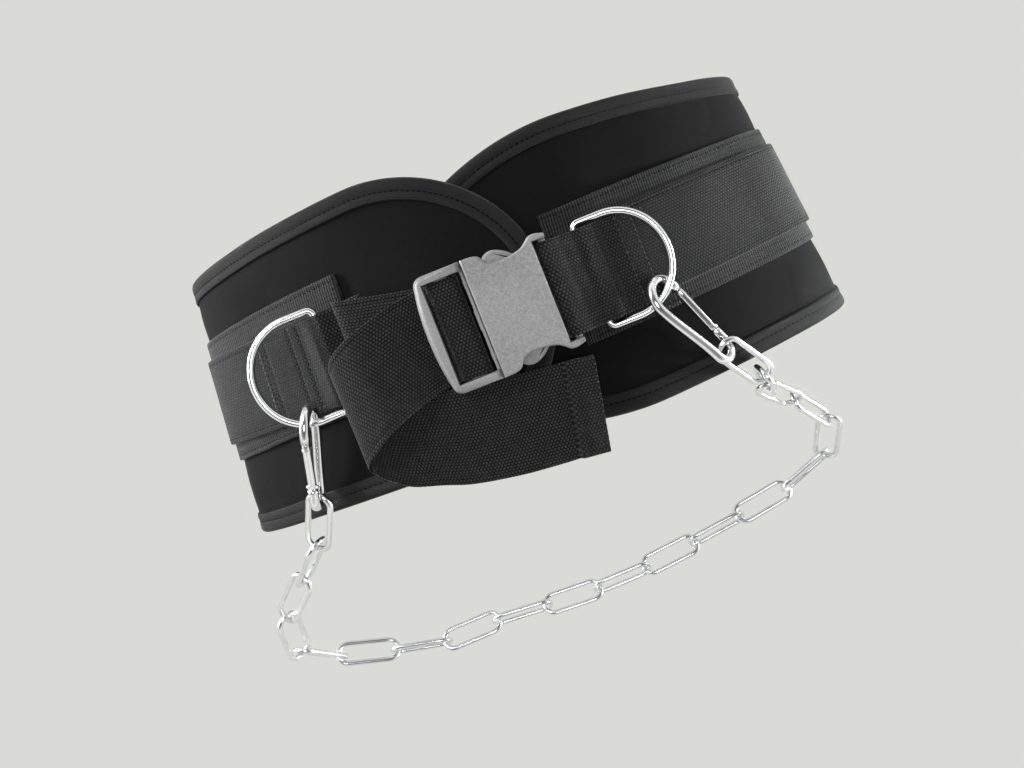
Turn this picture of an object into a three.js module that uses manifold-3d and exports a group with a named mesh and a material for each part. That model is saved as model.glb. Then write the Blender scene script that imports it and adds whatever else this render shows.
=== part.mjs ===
// Dip belt lying on its back, front upwards. Millimetres, +Z up, +X along the belt's width, +Y towards its top edge.
import * as THREE from "three";
import Module from "manifold-3d";

const wasm = await Module();
wasm.setup();

// ---------------------------------------------------------------- driving sizes
const GAP = 0.3; // clearance between pieces
const PAD_T = 6.5; // padded neoprene
const BIND_T = 1.0; // edge tape
const BIND_W = 10.0; // visible width of the edge tape
const BAND_T = 1.8; // 70 mm webbing
const BAND_W = 69.5;
const STRAP_T = 2.0; // 50 mm webbing
const STRAP_W = 49.0;
const TAPER = 0.08; // the loop is wider at its bottom edge
const BACK = GAP + BAND_T + GAP + STRAP_T; // pad's outer face above the surface it lies on
const RING_D = 4.0; // D-ring wire
const RING_W = 58.0; // D-ring outside, along its straight bar
const RING_H = 44.5; // D-ring outside, across
const HOOK_D = 5.0; // snap hook wire
const HOOK_L = 60.0; // snap hook outside length
const HOOK_W1 = 25.0; // wide end, outside
const HOOK_W2 = 18.0; // narrow end, outside
const ORIGIN = [9.953, 64.601, 0.0]; // from the loop's middle to the frame's origin
const LINK_D = 3.2; // chain wire
const LINK_L = 42.1; // link outside length
const LINK_W = 15.7; // link outside width
const BUCKLE_Z0 = 133.5; // underside of the buckle
const BUCKLE_H = 12.4;
const BUCKLE_Y = -6.4; // centre line of the buckle
const BUCKLE_W = 59.4;

const V = (x, y, z) => new THREE.Vector3(x, y, z);
const lerp = (a, b, t) => a + (b - a) * t;
const smooth = (a, b, x) => {
  const t = Math.min(1, Math.max(0, (x - a) / (b - a)));
  return t * t * (3 - 2 * t);
};
// value of a table column at x, rows sorted on the key column
function at(rows, key, col, x) {
  if (x <= rows[0][key]) return rows[0][col];
  for (let i = 1; i < rows.length; i++)
    if (x <= rows[i][key]) {
      const a = rows[i - 1],
        b = rows[i];
      return lerp(a[col], b[col], (x - a[key]) / (b[key] - a[key]));
    }
  return rows[rows.length - 1][col];
}
const table = (names, rows) =>
  rows.map((r) => Object.fromEntries(names.map((n, i) => [n, r[i]])));

// ---------------------------------------------------------------- materials
const mat = (hex, roughness, metalness) =>
  new THREE.MeshStandardMaterial({ color: hex, roughness, metalness });

const group = new THREE.Group();
group.name = "dip_belt";
function addMesh(name, geometry, colour, rough, metal = 0) {
  const g = geometry;
  g.computeVertexNormals();
  const m = new THREE.Mesh(g, mat(colour, rough, metal));
  m.name = name;
  group.add(m);
  return m;
}

// ---------------------------------------------------------------- solid builders
class Body {
  constructor() {
    this.p = [];
    this.t = [];
  }
  add(v) {
    this.p.push(v.x, v.y, v.z);
    return this.p.length / 3 - 1;
  }
  quad(a, b, c, d) {
    this.t.push(a, b, c, a, c, d);
  }
  geometry() {
    // outward facing: flip when the signed volume is negative
    let vol = 0;
    const q = (i) => V(this.p[3 * i], this.p[3 * i + 1], this.p[3 * i + 2]);
    for (let i = 0; i < this.t.length; i += 3)
      vol += q(this.t[i]).dot(q(this.t[i + 1]).cross(q(this.t[i + 2])));
    if (vol < 0)
      for (let i = 0; i < this.t.length; i += 3)
        [this.t[i + 1], this.t[i + 2]] = [this.t[i + 2], this.t[i + 1]];
    const g = new THREE.BufferGeometry();
    g.setAttribute("position", new THREE.Float32BufferAttribute(this.p, 3));
    g.setIndex(this.t);
    return g;
  }
}
// rings: cross-sections with the same number of points; closed: the last joins the first.
// A strip section has its first half on one face and its second half, reversed, on the other.
function loft(rings, { closed = false, cap = "strip" } = {}) {
  const b = new Body(),
    n = rings[0].length,
    m = rings.length;
  const id = rings.map((r) => r.map((v) => b.add(v)));
  for (let i = 0; i < (closed ? m : m - 1); i++)
    for (let j = 0; j < n; j++) {
      const k = (i + 1) % m,
        l = (j + 1) % n;
      b.quad(id[i][j], id[i][l], id[k][l], id[k][j]);
    }
  if (!closed)
    for (const [r, flip] of [
      [id[0], false],
      [id[m - 1], true],
    ]) {
      const tri = (x, y, z) => b.t.push(...(flip ? [x, y, z] : [x, z, y]));
      if (cap === "fan")
        for (let j = 1; j < n - 1; j++) tri(r[0], r[j], r[j + 1]);
      else
        for (let j = 0; j < n / 2 - 1; j++) {
          const a = r[j],
            c = r[j + 1],
            d = r[n - 2 - j],
            e = r[n - 1 - j];
          tri(a, c, d);
          tri(a, d, e);
        }
    }
  return b.geometry();
}
// round wire along a centre line
function wire(points, dia, { closed = false, sides = 8, up = null } = {}) {
  const rings = [],
    m = points.length;
  for (let i = 0; i < m; i++) {
    const a = points[closed ? (i - 1 + m) % m : Math.max(0, i - 1)],
      c = points[closed ? (i + 1) % m : Math.min(m - 1, i + 1)];
    const t = c.clone().sub(a).normalize();
    const u = up.clone().sub(t.clone().multiplyScalar(up.dot(t))).normalize();
    const w = t.clone().cross(u);
    const ring = [];
    for (let k = 0; k < sides; k++) {
      const f = (2 * Math.PI * (k + 0.5)) / sides;
      ring.push(
        points[i]
          .clone()
          .addScaledVector(u, (dia / 2) * Math.cos(f))
          .addScaledVector(w, (dia / 2) * Math.sin(f)),
      );
    }
    rings.push(ring);
  }
  return loft(rings, { closed, cap: "fan" });
}
const solid = (g) => {
  const p = g.getAttribute("position"),
    idx = g.index ? Array.from(g.index.array) : [...Array(p.count).keys()];
  const mesh = new wasm.Mesh({
    numProp: 3,
    vertProperties: new Float32Array(p.array),
    triVerts: new Uint32Array(idx),
  });
  mesh.merge();
  return new wasm.Manifold(mesh);
};
function fromSolid(s) {
  const m = s.getMesh(),
    g = new THREE.BufferGeometry();
  const pos = new Float32Array((m.vertProperties.length / m.numProp) * 3);
  for (let i = 0; i < pos.length / 3; i++)
    for (let k = 0; k < 3; k++)
      pos[3 * i + k] = m.vertProperties[i * m.numProp + k];
  g.setAttribute("position", new THREE.BufferAttribute(pos, 3));
  g.setIndex(Array.from(m.triVerts));
  return g;
}
const box = (x0, x1, y0, y1, z0, z1) =>
  new THREE.BoxGeometry(x1 - x0, y1 - y0, z1 - z0).translate(
    (x0 + x1) / 2,
    (y0 + y1) / 2,
    (z0 + z1) / 2,
  );

// ---------------------------------------------------------------- the loop's shape
// Outer face of the pad seen along the belt, from the left end (on top) round the back to the right end (beneath).
const LOOP = table(
  ["x", "z"],
  [
    [22.2, 130.4],
    [10, 130.9],
    [-10, 130.7],
    [-30, 129.0],
    [-55, 124.5],
    [-80, 117.8],
    [-105, 109.3],
    [-130, 98.6],
    [-153.5, 86.2],
    [-169.3, 72.5],
    [-175.5, 57.0],
    [-171.5, 41.0],
    [-160, 26.0],
    [-140.5, 13.4],
    [-115, 6.2],
    [-90, BACK],
    [0, BACK],
    [90, BACK],
    [115, 6.2],
    [140.5, 13.4],
    [160, 26.0],
    [171.5, 41.0],
    [175.5, 57.0],
    [169.3, 72.5],
    [153.5, 86.2],
    [130, 97.5],
    [105, 107.6],
    [80, 115.0],
    [55, 120.2],
    [30, 121.2],
    [10, 120.2],
    [-10, 119.3],
    [-30, 117.2],
    [-50, 113.4],
    [-61, 110.4],
  ],
);
// Facets: straight at the back, even steps elsewhere.
const STEP = 12.5;
const verts = (() => {
  const c = new THREE.CatmullRomCurve3(
    LOOP.map((r) => V(r.x, 0, r.z)),
    false,
    "centripetal",
  );
  const fine = c.getPoints(3400),
    out = [fine[0]];
  let run = 0;
  const flat = (p) => Math.abs(p.x) < 90 && p.z < 20;
  for (let i = 1; i < fine.length; i++) {
    run += fine[i].distanceTo(fine[i - 1]);
    const want = flat(fine[i]) && flat(out[out.length - 1]) ? 36 : STEP;
    if (run >= want || i === fine.length - 1) {
      out.push(fine[i].clone());
      run = 0;
    }
  }
  for (const p of out) if (flat(p)) p.z = BACK;
  return out;
})();
const run = [0];
for (let i = 1; i < verts.length; i++)
  run.push(run[i - 1] + verts[i].distanceTo(verts[i - 1]));
const LENGTH = run[run.length - 1];
// outward mitre at each vertex
const facetN = verts.slice(1).map((p, i) => {
  const d = p.clone().sub(verts[i]).normalize();
  return V(d.z, 0, -d.x).negate();
});
const inside = V(0, 0, 60);
facetN.forEach((n, i) => {
  if (n.dot(verts[i].clone().sub(inside)) < 0) n.negate();
});
const mitre = verts.map((p, i) => {
  const a = facetN[Math.max(0, i - 1)],
    b = facetN[Math.min(facetN.length - 1, i)];
  const m = a.clone().add(b).normalize();
  return m.divideScalar(m.dot(b));
});
// wider towards the bottom edge, at the sides only
function taper(p) {
  const k = 1 - (TAPER * (p.y + 3)) / 146;
  const w = smooth(55, 140, Math.abs(p.x)); // front and back stay plain
  return V(p.x * lerp(1, k, w), p.y, p.z);
}
// point at run L, height Y, distance h out of the pad's outer face
function skin(L, y, h) {
  const l = Math.min(LENGTH, Math.max(0, L));
  let i = 1;
  while (i < run.length - 1 && run[i] < l) i++;
  const t = (l - run[i - 1]) / (run[i] - run[i - 1]);
  const a = verts[i - 1].clone().addScaledVector(mitre[i - 1], h),
    b = verts[i].clone().addScaledVector(mitre[i], h);
  const p = a.lerp(b, t);
  p.y = y;
  return taper(p);
}
// run at which the front passes x: side -1 from the left end, +1 from the right end
function runAt(x, side) {
  const idx = verts.map((_, i) => i);
  if (side > 0) idx.reverse();
  for (let k = 1; k < idx.length; k++) {
    const i = idx[k - 1],
      j = idx[k];
    const a = verts[i].x,
      b = verts[j].x;
    if ((a - x) * (b - x) <= 0 && a !== b)
      return lerp(run[i], run[j], (x - a) / (b - a));
  }
  return side < 0 ? 0 : LENGTH;
}
const stations = (L0, L1, extra = []) =>
  [L0, ...run.filter((l) => l > L0 + 2.2 && l < L1 - 2.2), ...extra, L1].sort(
    (a, b) => a - b,
  );

// ---------------------------------------------------------------- pad outline
// Edges by place round the loop: u = 0 left end, 1 right end.
const MIDY = 0;
const EDGE = table(
  ["u", "top", "bottom", "band", "strap"],
  [
    [0.0, 78.0, -70.0, 8.0, 3.5],
    [0.1, 78.0, -70.5, 8.0, 3.2],
    [0.17, 76.5, -72.0, 6.5, 3.0],
    [0.27, 68.2, -75.6, 0.8, 2.5],
    [0.5, 67.8, -75.5, 0.5, 1.5],
    [0.73, 68.2, -75.6, 0.5, 0.5],
    [0.83, 74.5, -77.5, -2.0, -3.0],
    [0.9, 75.6, -78.0, -4.0, -6.0],
    [1.0, 75.6, -78.0, -4.6, -6.0],
  ],
);
const edge = (L, col) => at(EDGE, "u", col, L / LENGTH);
const LEFT_END = { a: 81, y: 4 }; // rounded end, half axis along the belt
const RIGHT_END = { a: 118, y: -2 };
const TIP = 0.994; // the round is cut blunt just before its tip
function padEdges(L) {
  let top = edge(L, "top"),
    bot = edge(L, "bottom");
  const round = (s, e) => {
    const q = Math.min(TIP, Math.max(0, 1 - s / e.a));
    const k = Math.sqrt(1 - q * q);
    top = e.y + (top - e.y) * k;
    bot = e.y + (bot - e.y) * k;
  };
  if (L < LEFT_END.a) round(L, LEFT_END);
  if (LENGTH - L < RIGHT_END.a) round(LENGTH - L, RIGHT_END);
  return [top, bot];
}
const endRuns = [2, 5, 9];
const PAD_L = stations(0, LENGTH, [
  ...endRuns,
  ...endRuns.map((d) => LENGTH - d * 1.4),
]);

function padGeometry() {
  const nose = 2.0;
  const rings = PAD_L.map((L) => {
    const [t, b] = padEdges(L);
    const m = (t + b) / 2,
      k = Math.min(nose, (t - b) / 4);
    const ys = [b + k, m, t - k];
    const l = Math.min(LENGTH - 1, Math.max(1, L)); // ends stand back inside the tape
    return [
      ...ys.map((y) => skin(l, y, 0)),
      skin(l, t - 0.4, -PAD_T / 2),
      ...ys.reverse().map((y) => skin(l, y, -PAD_T)),
      skin(l, b + 0.4, -PAD_T / 2),
    ];
  });
  // cap as a fan: the sections at both ends are convex
  return loft(rings, { cap: "fan" });
}
// ---------------------------------------------------------------- edge tape
// A channel folded over the pad's edge, once round its whole outline.
function bindingGeometry() {
  const top = PAD_L.map((L) => [L, padEdges(L)[0]]),
    bot = PAD_L.map((L) => [L, padEdges(L)[1]]).reverse();
  const line = [...top, ...bot];
  const n = line.length;
  const dir = (a, b) => {
    const d = [b[0] - a[0], b[1] - a[1]],
      l = Math.hypot(...d);
    return [d[0] / l, d[1] / l];
  };
  // outline runs with the top edge first, so outward is to the left of travel
  const rings = line.map((p, i) => {
    const d1 = dir(line[(i - 1 + n) % n], p),
      d2 = dir(p, line[(i + 1) % n]);
    const n1 = [-d1[1], d1[0]],
      n2 = [-d2[1], d2[0]];
    let m = [n1[0] + n2[0], n1[1] + n2[1]];
    const l = Math.hypot(...m);
    m = [m[0] / l, m[1] / l];
    const k = Math.min(1.25, 1 / (m[0] * n1[0] + m[1] * n1[1]));
    const e = (d, h) => skinFree(p[0] + m[0] * d * k, p[1] + m[1] * d * k, h);
    const o = GAP + BIND_T + 0.1,
      i0 = GAP + 0.2, // inner faces
      W = BIND_W;
    return [
      e(-W, o),
      e(0.5, o),
      e(1.6, -0.7),
      e(1.6, -PAD_T + 0.7),
      e(0.5, -PAD_T - o),
      e(-W, -PAD_T - o),
      e(-W, -PAD_T - i0),
      e(0.5, -PAD_T - i0),
      e(0.5, i0),
      e(-W, i0),
    ];
  });
  return loft(rings, { closed: true });
}
// like skin, but carries straight on past the pad's ends
function skinFree(L, y, h) {
  if (L >= 0 && L <= LENGTH) return skin(L, y, h);
  const i = L < 0 ? 0 : verts.length - 1,
    j = L < 0 ? 1 : verts.length - 2;
  const d = verts[i].clone().sub(verts[j]).normalize();
  const p = verts[i]
    .clone()
    .addScaledVector(mitre[i], h)
    .addScaledVector(d, L < 0 ? -L : L - LENGTH);
  p.y = y;
  return taper(p);
}

// ---------------------------------------------------------------- sewn webbing
// strip on the pad between two runs; centre, width, height off the pad by run
function sewn(L0, L1, centre, width, h0, thick, extra = [], skew = 0) {
  const Ls = stations(L0, L1, extra);
  const rings = Ls.map((L) => {
    const c = centre(L),
      h = typeof h0 === "function" ? h0(L) : h0,
      w = width / 2;
    const k = (y) => L + (L === L1 ? skew : 0) * ((y - c) / w);
    const ys = [c - w, c, c + w];
    return [
      ...ys.map((y) => skin(k(y), y, h)),
      ...ys.reverse().map((y) => skin(k(y), y, h + thick)),
    ];
  });
  return loft(rings);
}
const H_BAND = GAP,
  H_STRAP = GAP + BAND_T + GAP,
  H_TOP = H_STRAP + STRAP_T; // = BACK
const bandL0 = runAt(-77, -1),
  bandL1 = runAt(29, 1);
const strapL0 = runAt(-66, -1),
  strapL1 = runAt(35, 1);

// ---------------------------------------------------------------- D-rings
// frame: origin at the straight bar's centre, ex away from the bar, ey along it
const RING_SEG = 26;
function ringLine(o, ex, ey) {
  const r = RING_D / 2,
    hw = RING_W / 2 - r,
    depth = RING_H - RING_D,
    rc = 3.2,
    rise = 15; // straight sides
  const pts = [];
  const P = (x, y) =>
    pts.push(o.clone().addScaledVector(ex, x).addScaledVector(ey, y));
  for (let k = 0; k <= 3; k++) {
    const f = (Math.PI / 2) * (k / 3);
    P(rc - rc * Math.cos(f), hw - rc + rc * Math.sin(f));
  }
  for (let k = 0; k <= RING_SEG - 8; k++) {
    const f = Math.PI / 2 - (Math.PI * k) / (RING_SEG - 8);
    P(rise + (depth - rise) * Math.cos(f), hw * Math.sin(f));
  }
  for (let k = 3; k >= 0; k--) {
    const f = (Math.PI / 2) * (k / 3);
    P(rc - rc * Math.cos(f), -(hw - rc + rc * Math.sin(f)));
  }
  return pts;
}
const H_BAR = H_TOP + 2 * GAP + RING_D / 2; // centre of the bar off the pad
const RINGS = table(
  ["name", "x", "y", "side", "slope", "turn"],
  [
    ["left", -91, 2.8, -1, -5, 1],
    ["right", 42.4, -6.6, 1, -1, 0],
  ],
).map((r) => {
  const L = runAt(r.x, r.side);
  const o = skin(L, r.y, H_BAR);
  const s = (r.slope * Math.PI) / 180,
    t = (r.turn * Math.PI) / 180;
  const ex = V(r.side * Math.cos(s) * Math.cos(t), Math.sin(t) * r.side * 1, -Math.sin(s)).normalize();
  const ey = V(0, 1, 0).sub(ex.clone().multiplyScalar(ex.y)).normalize();
  return { ...r, L, o, ex, ey, n: ex.clone().cross(ey).normalize() };
});
const RING = Object.fromEntries(RINGS.map((r) => [r.name, r]));

// ---------------------------------------------------------------- snap hooks
// t: from the wide end's wire centre along the axis; s: to the spine side
const HOOK_TIP = HOOK_L - HOOK_D; // wire centre to wire centre
const R1 = (HOOK_W1 - HOOK_D) / 2,
  R2 = (HOOK_W2 - HOOK_D) / 2;
const GATE_T0 = 14.2,
  GATE_T1 = 41.0,
  PIVOT_T = 40.2,
  GATE_D = 4.2;
function hookOutline(t) {
  // half width of the gate side at t
  return lerp(R1, R2, smooth(R1, HOOK_TIP - R2, t));
}
function hookLine() {
  const pts = [];
  const a0 = GATE_T0 - 0.5,
    a1 = GATE_T1 + 0.6;
  pts.push([a0, -hookOutline(a0)]);
  for (let k = 0; k <= 8; k++) {
    const f = -Math.PI / 2 + (Math.PI * k) / 8;
    pts.push([R1 - R1 * Math.cos(f), R1 * Math.sin(f)]);
  }
  for (let k = 1; k < 6; k++) {
    const t = lerp(R1, HOOK_TIP - R2, k / 6);
    pts.push([t, hookOutline(t)]);
  }
  for (let k = 0; k <= 7; k++) {
    const f = Math.PI / 2 - (Math.PI * k) / 7;
    pts.push([HOOK_TIP - R2 + R2 * Math.cos(f), R2 * Math.sin(f)]);
  }
  pts.push([a1, -hookOutline(a1)]);
  return pts;
}
// placed by the wide end's wire centre, the axis and the side its spine is on
const HOOKS = table(
  ["name", "x", "y", "z", "ax", "ay", "az", "sx", "sy", "sz"],
  [
    ["left", -110.6, -15.6, 130.0, -0.343, -0.897, -0.33, 0, 0, -1],
    ["right", 68.71, -21.27, 130.81, 0.45, -0.885, -0.165, -0.815, -0.247, 0.781],
  ],
).map((h) => {
  const a = V(h.ax, h.ay, h.az).normalize();
  const s = V(h.sx, h.sy, h.sz);
  s.addScaledVector(a, -s.dot(a)).normalize();
  const tip = V(h.x, h.y, h.z);
  const at = (t, u) => tip.clone().addScaledVector(a, t).addScaledVector(s, u);
  return { ...h, a, s, n: a.clone().cross(s).normalize(), tip, at };
});

// ---------------------------------------------------------------- chain
// one row per link: centre, heading, slope down, turn about its own length
const CHAIN = table(["x", "y", "z", "heading", "slope", "turn"], [
  [-135.8, -74.8, 103.51, -121.4, 29.1, 12.3],
  [-154.6, -97.3, 84.84, -137.1, 33.1, -74.7],
  [-177.6, -117.3, 67.52, -138.8, 27.8, 15.6],
  [-193.3, -142.9, 51.08, -106.7, 32.1, -48.0],
  [-191.6, -167.0, 28.25, -60.1, 44.4, 45.9],
  [-169.3, -183.4, 11.43, -23.5, 15.7, -47.9],
  [-137.0, -194.5, 6.96, -12.3, -0.1, 53.3],
  [-102.3, -197.7, 6.60, 0.3, 2.7, -41.8],
  [-67.3, -198.9, 6.40, -4.2, 0.2, 46.7],
  [-32.3, -201.6, 6.61, -2.7, -0.4, -49.2],
  [2.8, -202.1, 6.15, 1.4, -0.6, 38.5],
  [37.7, -199.4, 6.52, 5.5, -0.3, -48.2],
  [72.5, -195.0, 6.33, 6.6, 0.7, 44.4],
  [107.1, -189.2, 7.00, 9.9, -2.5, -43.7],
  [140.2, -179.3, 10.10, 25.1, -10.7, 50.6],
  [156.6, -158.8, 25.48, 82.6, -37.1, -28.7],
  [147.4, -132.8, 43.77, 129.8, -29.8, 49.2],
  [127.1, -112.2, 63.56, 136.1, -38.2, -44.1],
  [114.4, -95.2, 90.42, 121.6, -64.5, 76.2],
  [101.4, -76.45, 114.2, 127.0, -28.3, -8.3],
]);
const LINK_ARC = 6;
function linkLine(l) {
  const r = (LINK_W - LINK_D) / 2,
    hs = (LINK_L - LINK_D) / 2 - r;
  const d = Math.PI / 180;
  const q = new THREE.Matrix4()
    .makeRotationZ(l.heading * d)
    .multiply(new THREE.Matrix4().makeRotationY(l.slope * d))
    .multiply(new THREE.Matrix4().makeRotationX(l.turn * d));
  const c = V(l.x, l.y, l.z),
    pts = [];
  for (const e of [1, -1])
    for (let k = 0; k <= LINK_ARC; k++) {
      const f = -Math.PI / 2 + (Math.PI * k) / LINK_ARC;
      pts.push(
        V(e * (hs + r * Math.cos(f)), e * r * Math.sin(f), 0)
          .applyMatrix4(q)
          .add(c),
      );
    }
  const up = V(0, 0, 1).applyMatrix4(q);
  return { pts, up };
}

// ---------------------------------------------------------------- free webbing
// rows: centre of the strap, then the +Y edge against it (lean along x, lift along z), half the thickness
function ribbon(rows, per, halfWidth) {
  const key = ["x", "y", "z", "lean", "lift", "half"];
  const c = new THREE.CatmullRomCurve3(
    rows.map((r) => V(r.x, r.y, r.z)),
    false,
    "centripetal",
  );
  const st = [];
  for (let i = 0; i < rows.length - 1; i++)
    for (let k = 0; k < per(rows[i], rows[i + 1]); k++)
      st.push(i + k / per(rows[i], rows[i + 1]));
  st.push(rows.length - 1);
  const cr = (a, b, d, e, t) =>
    0.5 *
    (2 * b + (d - a) * t + (2 * a - 5 * b + 4 * d - e) * t * t + (3 * b - a - 3 * d + e) * t * t * t);
  const val = (s, col) => {
    const i = Math.min(rows.length - 2, Math.floor(s)),
      t = s - i;
    const g = (j) => rows[Math.min(rows.length - 1, Math.max(0, j))][col] ?? 0;
    return col === "half" ? lerp(g(i), g(i + 1), t) : cr(g(i - 1), g(i), g(i + 1), g(i + 2), t);
  };
  const P = (s) => V(val(s, "x"), val(s, "y"), val(s, "z"));
  const rings = st.map((s) => {
    const e = 0.02;
    const t = P(Math.min(rows.length - 1, s + e)).sub(P(Math.max(0, s - e))).normalize();
    const lean = val(s, "lean"),
      lift = val(s, "lift");
    const w = V(lean, Math.sqrt(Math.max(1, halfWidth ** 2 - lean ** 2 - lift ** 2)), lift);
    const n = t.clone().cross(w).normalize();
    const h = val(s, "half"),
      m = P(s);
    const p = (f, g) => m.clone().addScaledVector(w, f).addScaledVector(n, g * h);
    return [p(-1, 1), p(0, 1), p(1, 1), p(1, -1), p(0, -1), p(-1, -1)];
  });
  return loft(rings);
}
const steps = (len) => (a, b) =>
  Math.max(1, Math.round(Math.hypot(b.x - a.x, b.y - a.y, b.z - a.z) / len));

// Adjusting strap: sewn end, fold at the left, up through the plug's inner slot, over its bar, down the
// outer slot, out to the left, turned back and down to the right, ending in a folded hem.
const T2 = STRAP_T / 2;
const TAIL = table(
  ["x", "y", "z", "lean", "lift", "half"],
  [
    [-52, -2.7, 130.4, 0, 0, T2],
    [-63, -0.2, 130.3, 0, 0, T2],
    [-73, 2.0, 129.1, 0, 0, T2],
    [-78.4, 3.0, 129.4, 0, 0, T2],
    [-80.2, 3.4, 131.1, 0, 0, T2],
    [-78.4, 3.2, 132.8, 0, 0, T2],
    [-72, 1.7, 133.3, 0, 0, T2],
    [-60, -0.9, 133.5, 0, 0, T2],
    [-44, -4.4, 133.9, 0, 0, T2],
    [-33, -6.2, 133.9, 0, 0, T2],
    [-24, BUCKLE_Y, 133.9, 0, 0, T2],
    [-20.6, BUCKLE_Y, 135.2, 0, 0, T2],
    [-19.4, BUCKLE_Y, 138.6, 0, 0, T2],
    [-20.4, BUCKLE_Y, 141.9, 0, 0, T2],
    [-23.4, BUCKLE_Y, 142.8, 0, 0, T2],
    [-28.9, BUCKLE_Y, 142.8, 0, 0, T2],
    [-31.7, BUCKLE_Y, 141.9, 0, 0, T2],
    [-32.7, BUCKLE_Y, 139.6, 0, 0, T2],
    [-34.3, BUCKLE_Y, 137.1, 0, 0, T2],
    [-37.5, BUCKLE_Y, 136.4, 0, 0, T2],
    [-43.5, -6.9, 136.7, 0, 0, T2],
    [-52, -8.4, 139.3, -1, 0, T2],
    [-64, -11.8, 142.4, -2, 0, T2],
    [-75, -15.8, 143.2, -3, 0, T2],
    [-84, -20.5, 142.0, -3, 0, T2],
    [-89.6, -25.5, 139.8, -1.5, 0, T2],
    [-91.2, -29.5, 137.6, 0, 0.6, T2],
    [-89.6, -34.0, 135.4, 0.5, 1.4, T2],
    [-84, -40.0, 133.3, 1, 2.4, T2],
    [-75, -46.5, 132.0, 2, 3.4, T2],
    [-60, -51.7, 131.7, 3, 4.2, T2],
    [-44, -56.7, 132.2, 4, 3.8, T2],
    [-20, -60.5, 133.6, 4.2, 2.6, T2],
    [0, -62.8, 134.1, 4.3, 3.2, T2],
    [10.2, -64.0, 134.2, 4.3, 4.4, T2],
    [11.0, -64.1, 134.8, 4.3, 4.4, 2.6],
    [24.0, -65.9, 134.4, 4.3, 5.0, 2.6],
  ],
);
// Loop of the buckle's socket: both ends sewn down right of the D-ring's bar, over the bar, round the socket's bar.
const RL = (x, h) => {
  const p = skin(runAt(x, 1), 0, h);
  return [p.x, p.z];
};
const LOOP_Y = -6.5;
const loopRow = (x, h, z = null) => {
  const p = RL(x, h);
  return { x: z === null ? p[0] : x, y: LOOP_Y, z: z ?? p[1], lean: 0, lift: 0, half: T2 };
};
const hump = H_TOP + 2 * GAP + RING_D + GAP + T2; // webbing centre over the bar
const BAR_X = 25.4,
  BAR_Z = 139.0,
  BAR_D = 4.0;
const bend = BAR_D / 2 + GAP + T2;
const BUCKLE_LOOP = [
  loopRow(71, H_TOP + GAP + T2),
  loopRow(62, H_TOP + GAP + T2),
  loopRow(53, H_TOP + GAP + T2 + 0.4),
  loopRow(47.5, hump - 1.6),
  loopRow(44, hump + 0.2),
  loopRow(40, hump + 0.2),
  loopRow(35, 0, 133.6),
  loopRow(30.5, 0, 134.6),
  loopRow(BAR_X, 0, BAR_Z - bend),
  loopRow(BAR_X - 2.6, 0, BAR_Z - 2.3),
  loopRow(BAR_X - bend, 0, BAR_Z),
  loopRow(BAR_X - 2.6, 0, BAR_Z + 2.3),
  loopRow(BAR_X, 0, BAR_Z + bend),
  loopRow(29.2, 0, 141.0),
  loopRow(33, 0, 138.0),
  loopRow(36.5, 0, 136.3),
  loopRow(40.2, hump + 2.7),
  loopRow(44.4, hump + 2.7),
  loopRow(48.5, hump + 1.0),
  loopRow(54, H_TOP + 2 * GAP + 3 * T2 + 0.6),
  loopRow(62, H_TOP + 2 * GAP + 3 * T2 + 0.2),
];

// ---------------------------------------------------------------- buckle
const ZB0 = BUCKLE_Z0,
  ZB1 = BUCKLE_Z0 + BUCKLE_H,
  ZM = (ZB0 + ZB1) / 2;
// plate from a closed outline (x, half width), symmetric about the centre line, with a soft top edge
function plate(half, z0, z1, bevel = 0) {
  const pts = [
    ...half.map(([x, w]) => [x, w]),
    ...half.map(([x, w]) => [x, -w]).reverse(),
  ];
  const sh = new THREE.Shape(pts.map(([x, w]) => new THREE.Vector2(x, w)));
  const g = new THREE.ExtrudeGeometry(sh, {
    depth: z1 - z0 - 2 * bevel,
    bevelEnabled: bevel > 0,
    bevelThickness: bevel,
    bevelSize: bevel,
    bevelOffset: -bevel,
    bevelSegments: 1,
    curveSegments: 1,
  });
  return solid(g.translate(0, BUCKLE_Y, z0 + bevel));
}
const SOCKET = table(
  ["x", "w"],
  [
    [-14.7, 29.4],
    [-9, 29.3],
    [-6, 28.4],
    [-4.6, 27.0],
    [-2.8, 24.2],
    [2.5, 22.9],
    [10, 23.4],
    [14.5, 24.6],
    [17.6, 26.8],
    [19.4, 28.2],
    [22.5, 28.6],
    [27.2, 27.4],
    [27.2, 25.4],
  ],
);
function socketGeometry() {
  let s = plate(SOCKET.map((r) => [r.x, r.w]), ZB0 + 0.2, ZB1, 0.9);
  // hollow for the plug's prongs and tongue, open at the left
  s = s.subtract(solid(box(-16, 17.6, BUCKLE_Y - 21.4, BUCKLE_Y + 21.4, ZM - 3.5, ZM + 3.3)));
  s = s.subtract(solid(box(-16, 12.6, BUCKLE_Y - 40, BUCKLE_Y + 40, ZM - 3.5, ZM + 3.3)));
  // side walls of the mouth
  for (const e of [-1, 1]) {
    const a = BUCKLE_Y + e * 27.4,
      b = BUCKLE_Y + e * 28.9;
    s = s.add(solid(box(-14.2, -8.6, Math.min(a, b), Math.max(a, b), ZM - 4.2, ZM + 4.2)));
  }
  // slot for the webbing, leaving the bar
  s = s.subtract(solid(box(20.4, 40, BUCKLE_Y - 25.3, BUCKLE_Y + 25.3, ZB0 - 1, ZB1 + 1)));
  const bar = wire(
    [V(BAR_X, BUCKLE_Y - 26.4, BAR_Z), V(BAR_X, BUCKLE_Y + 26.4, BAR_Z)],
    BAR_D - 0.3,
    { sides: 8, up: V(0, 0, 1) },
  );
  s = s.add(solid(bar));
  return fromSolid(s);
}
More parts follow.
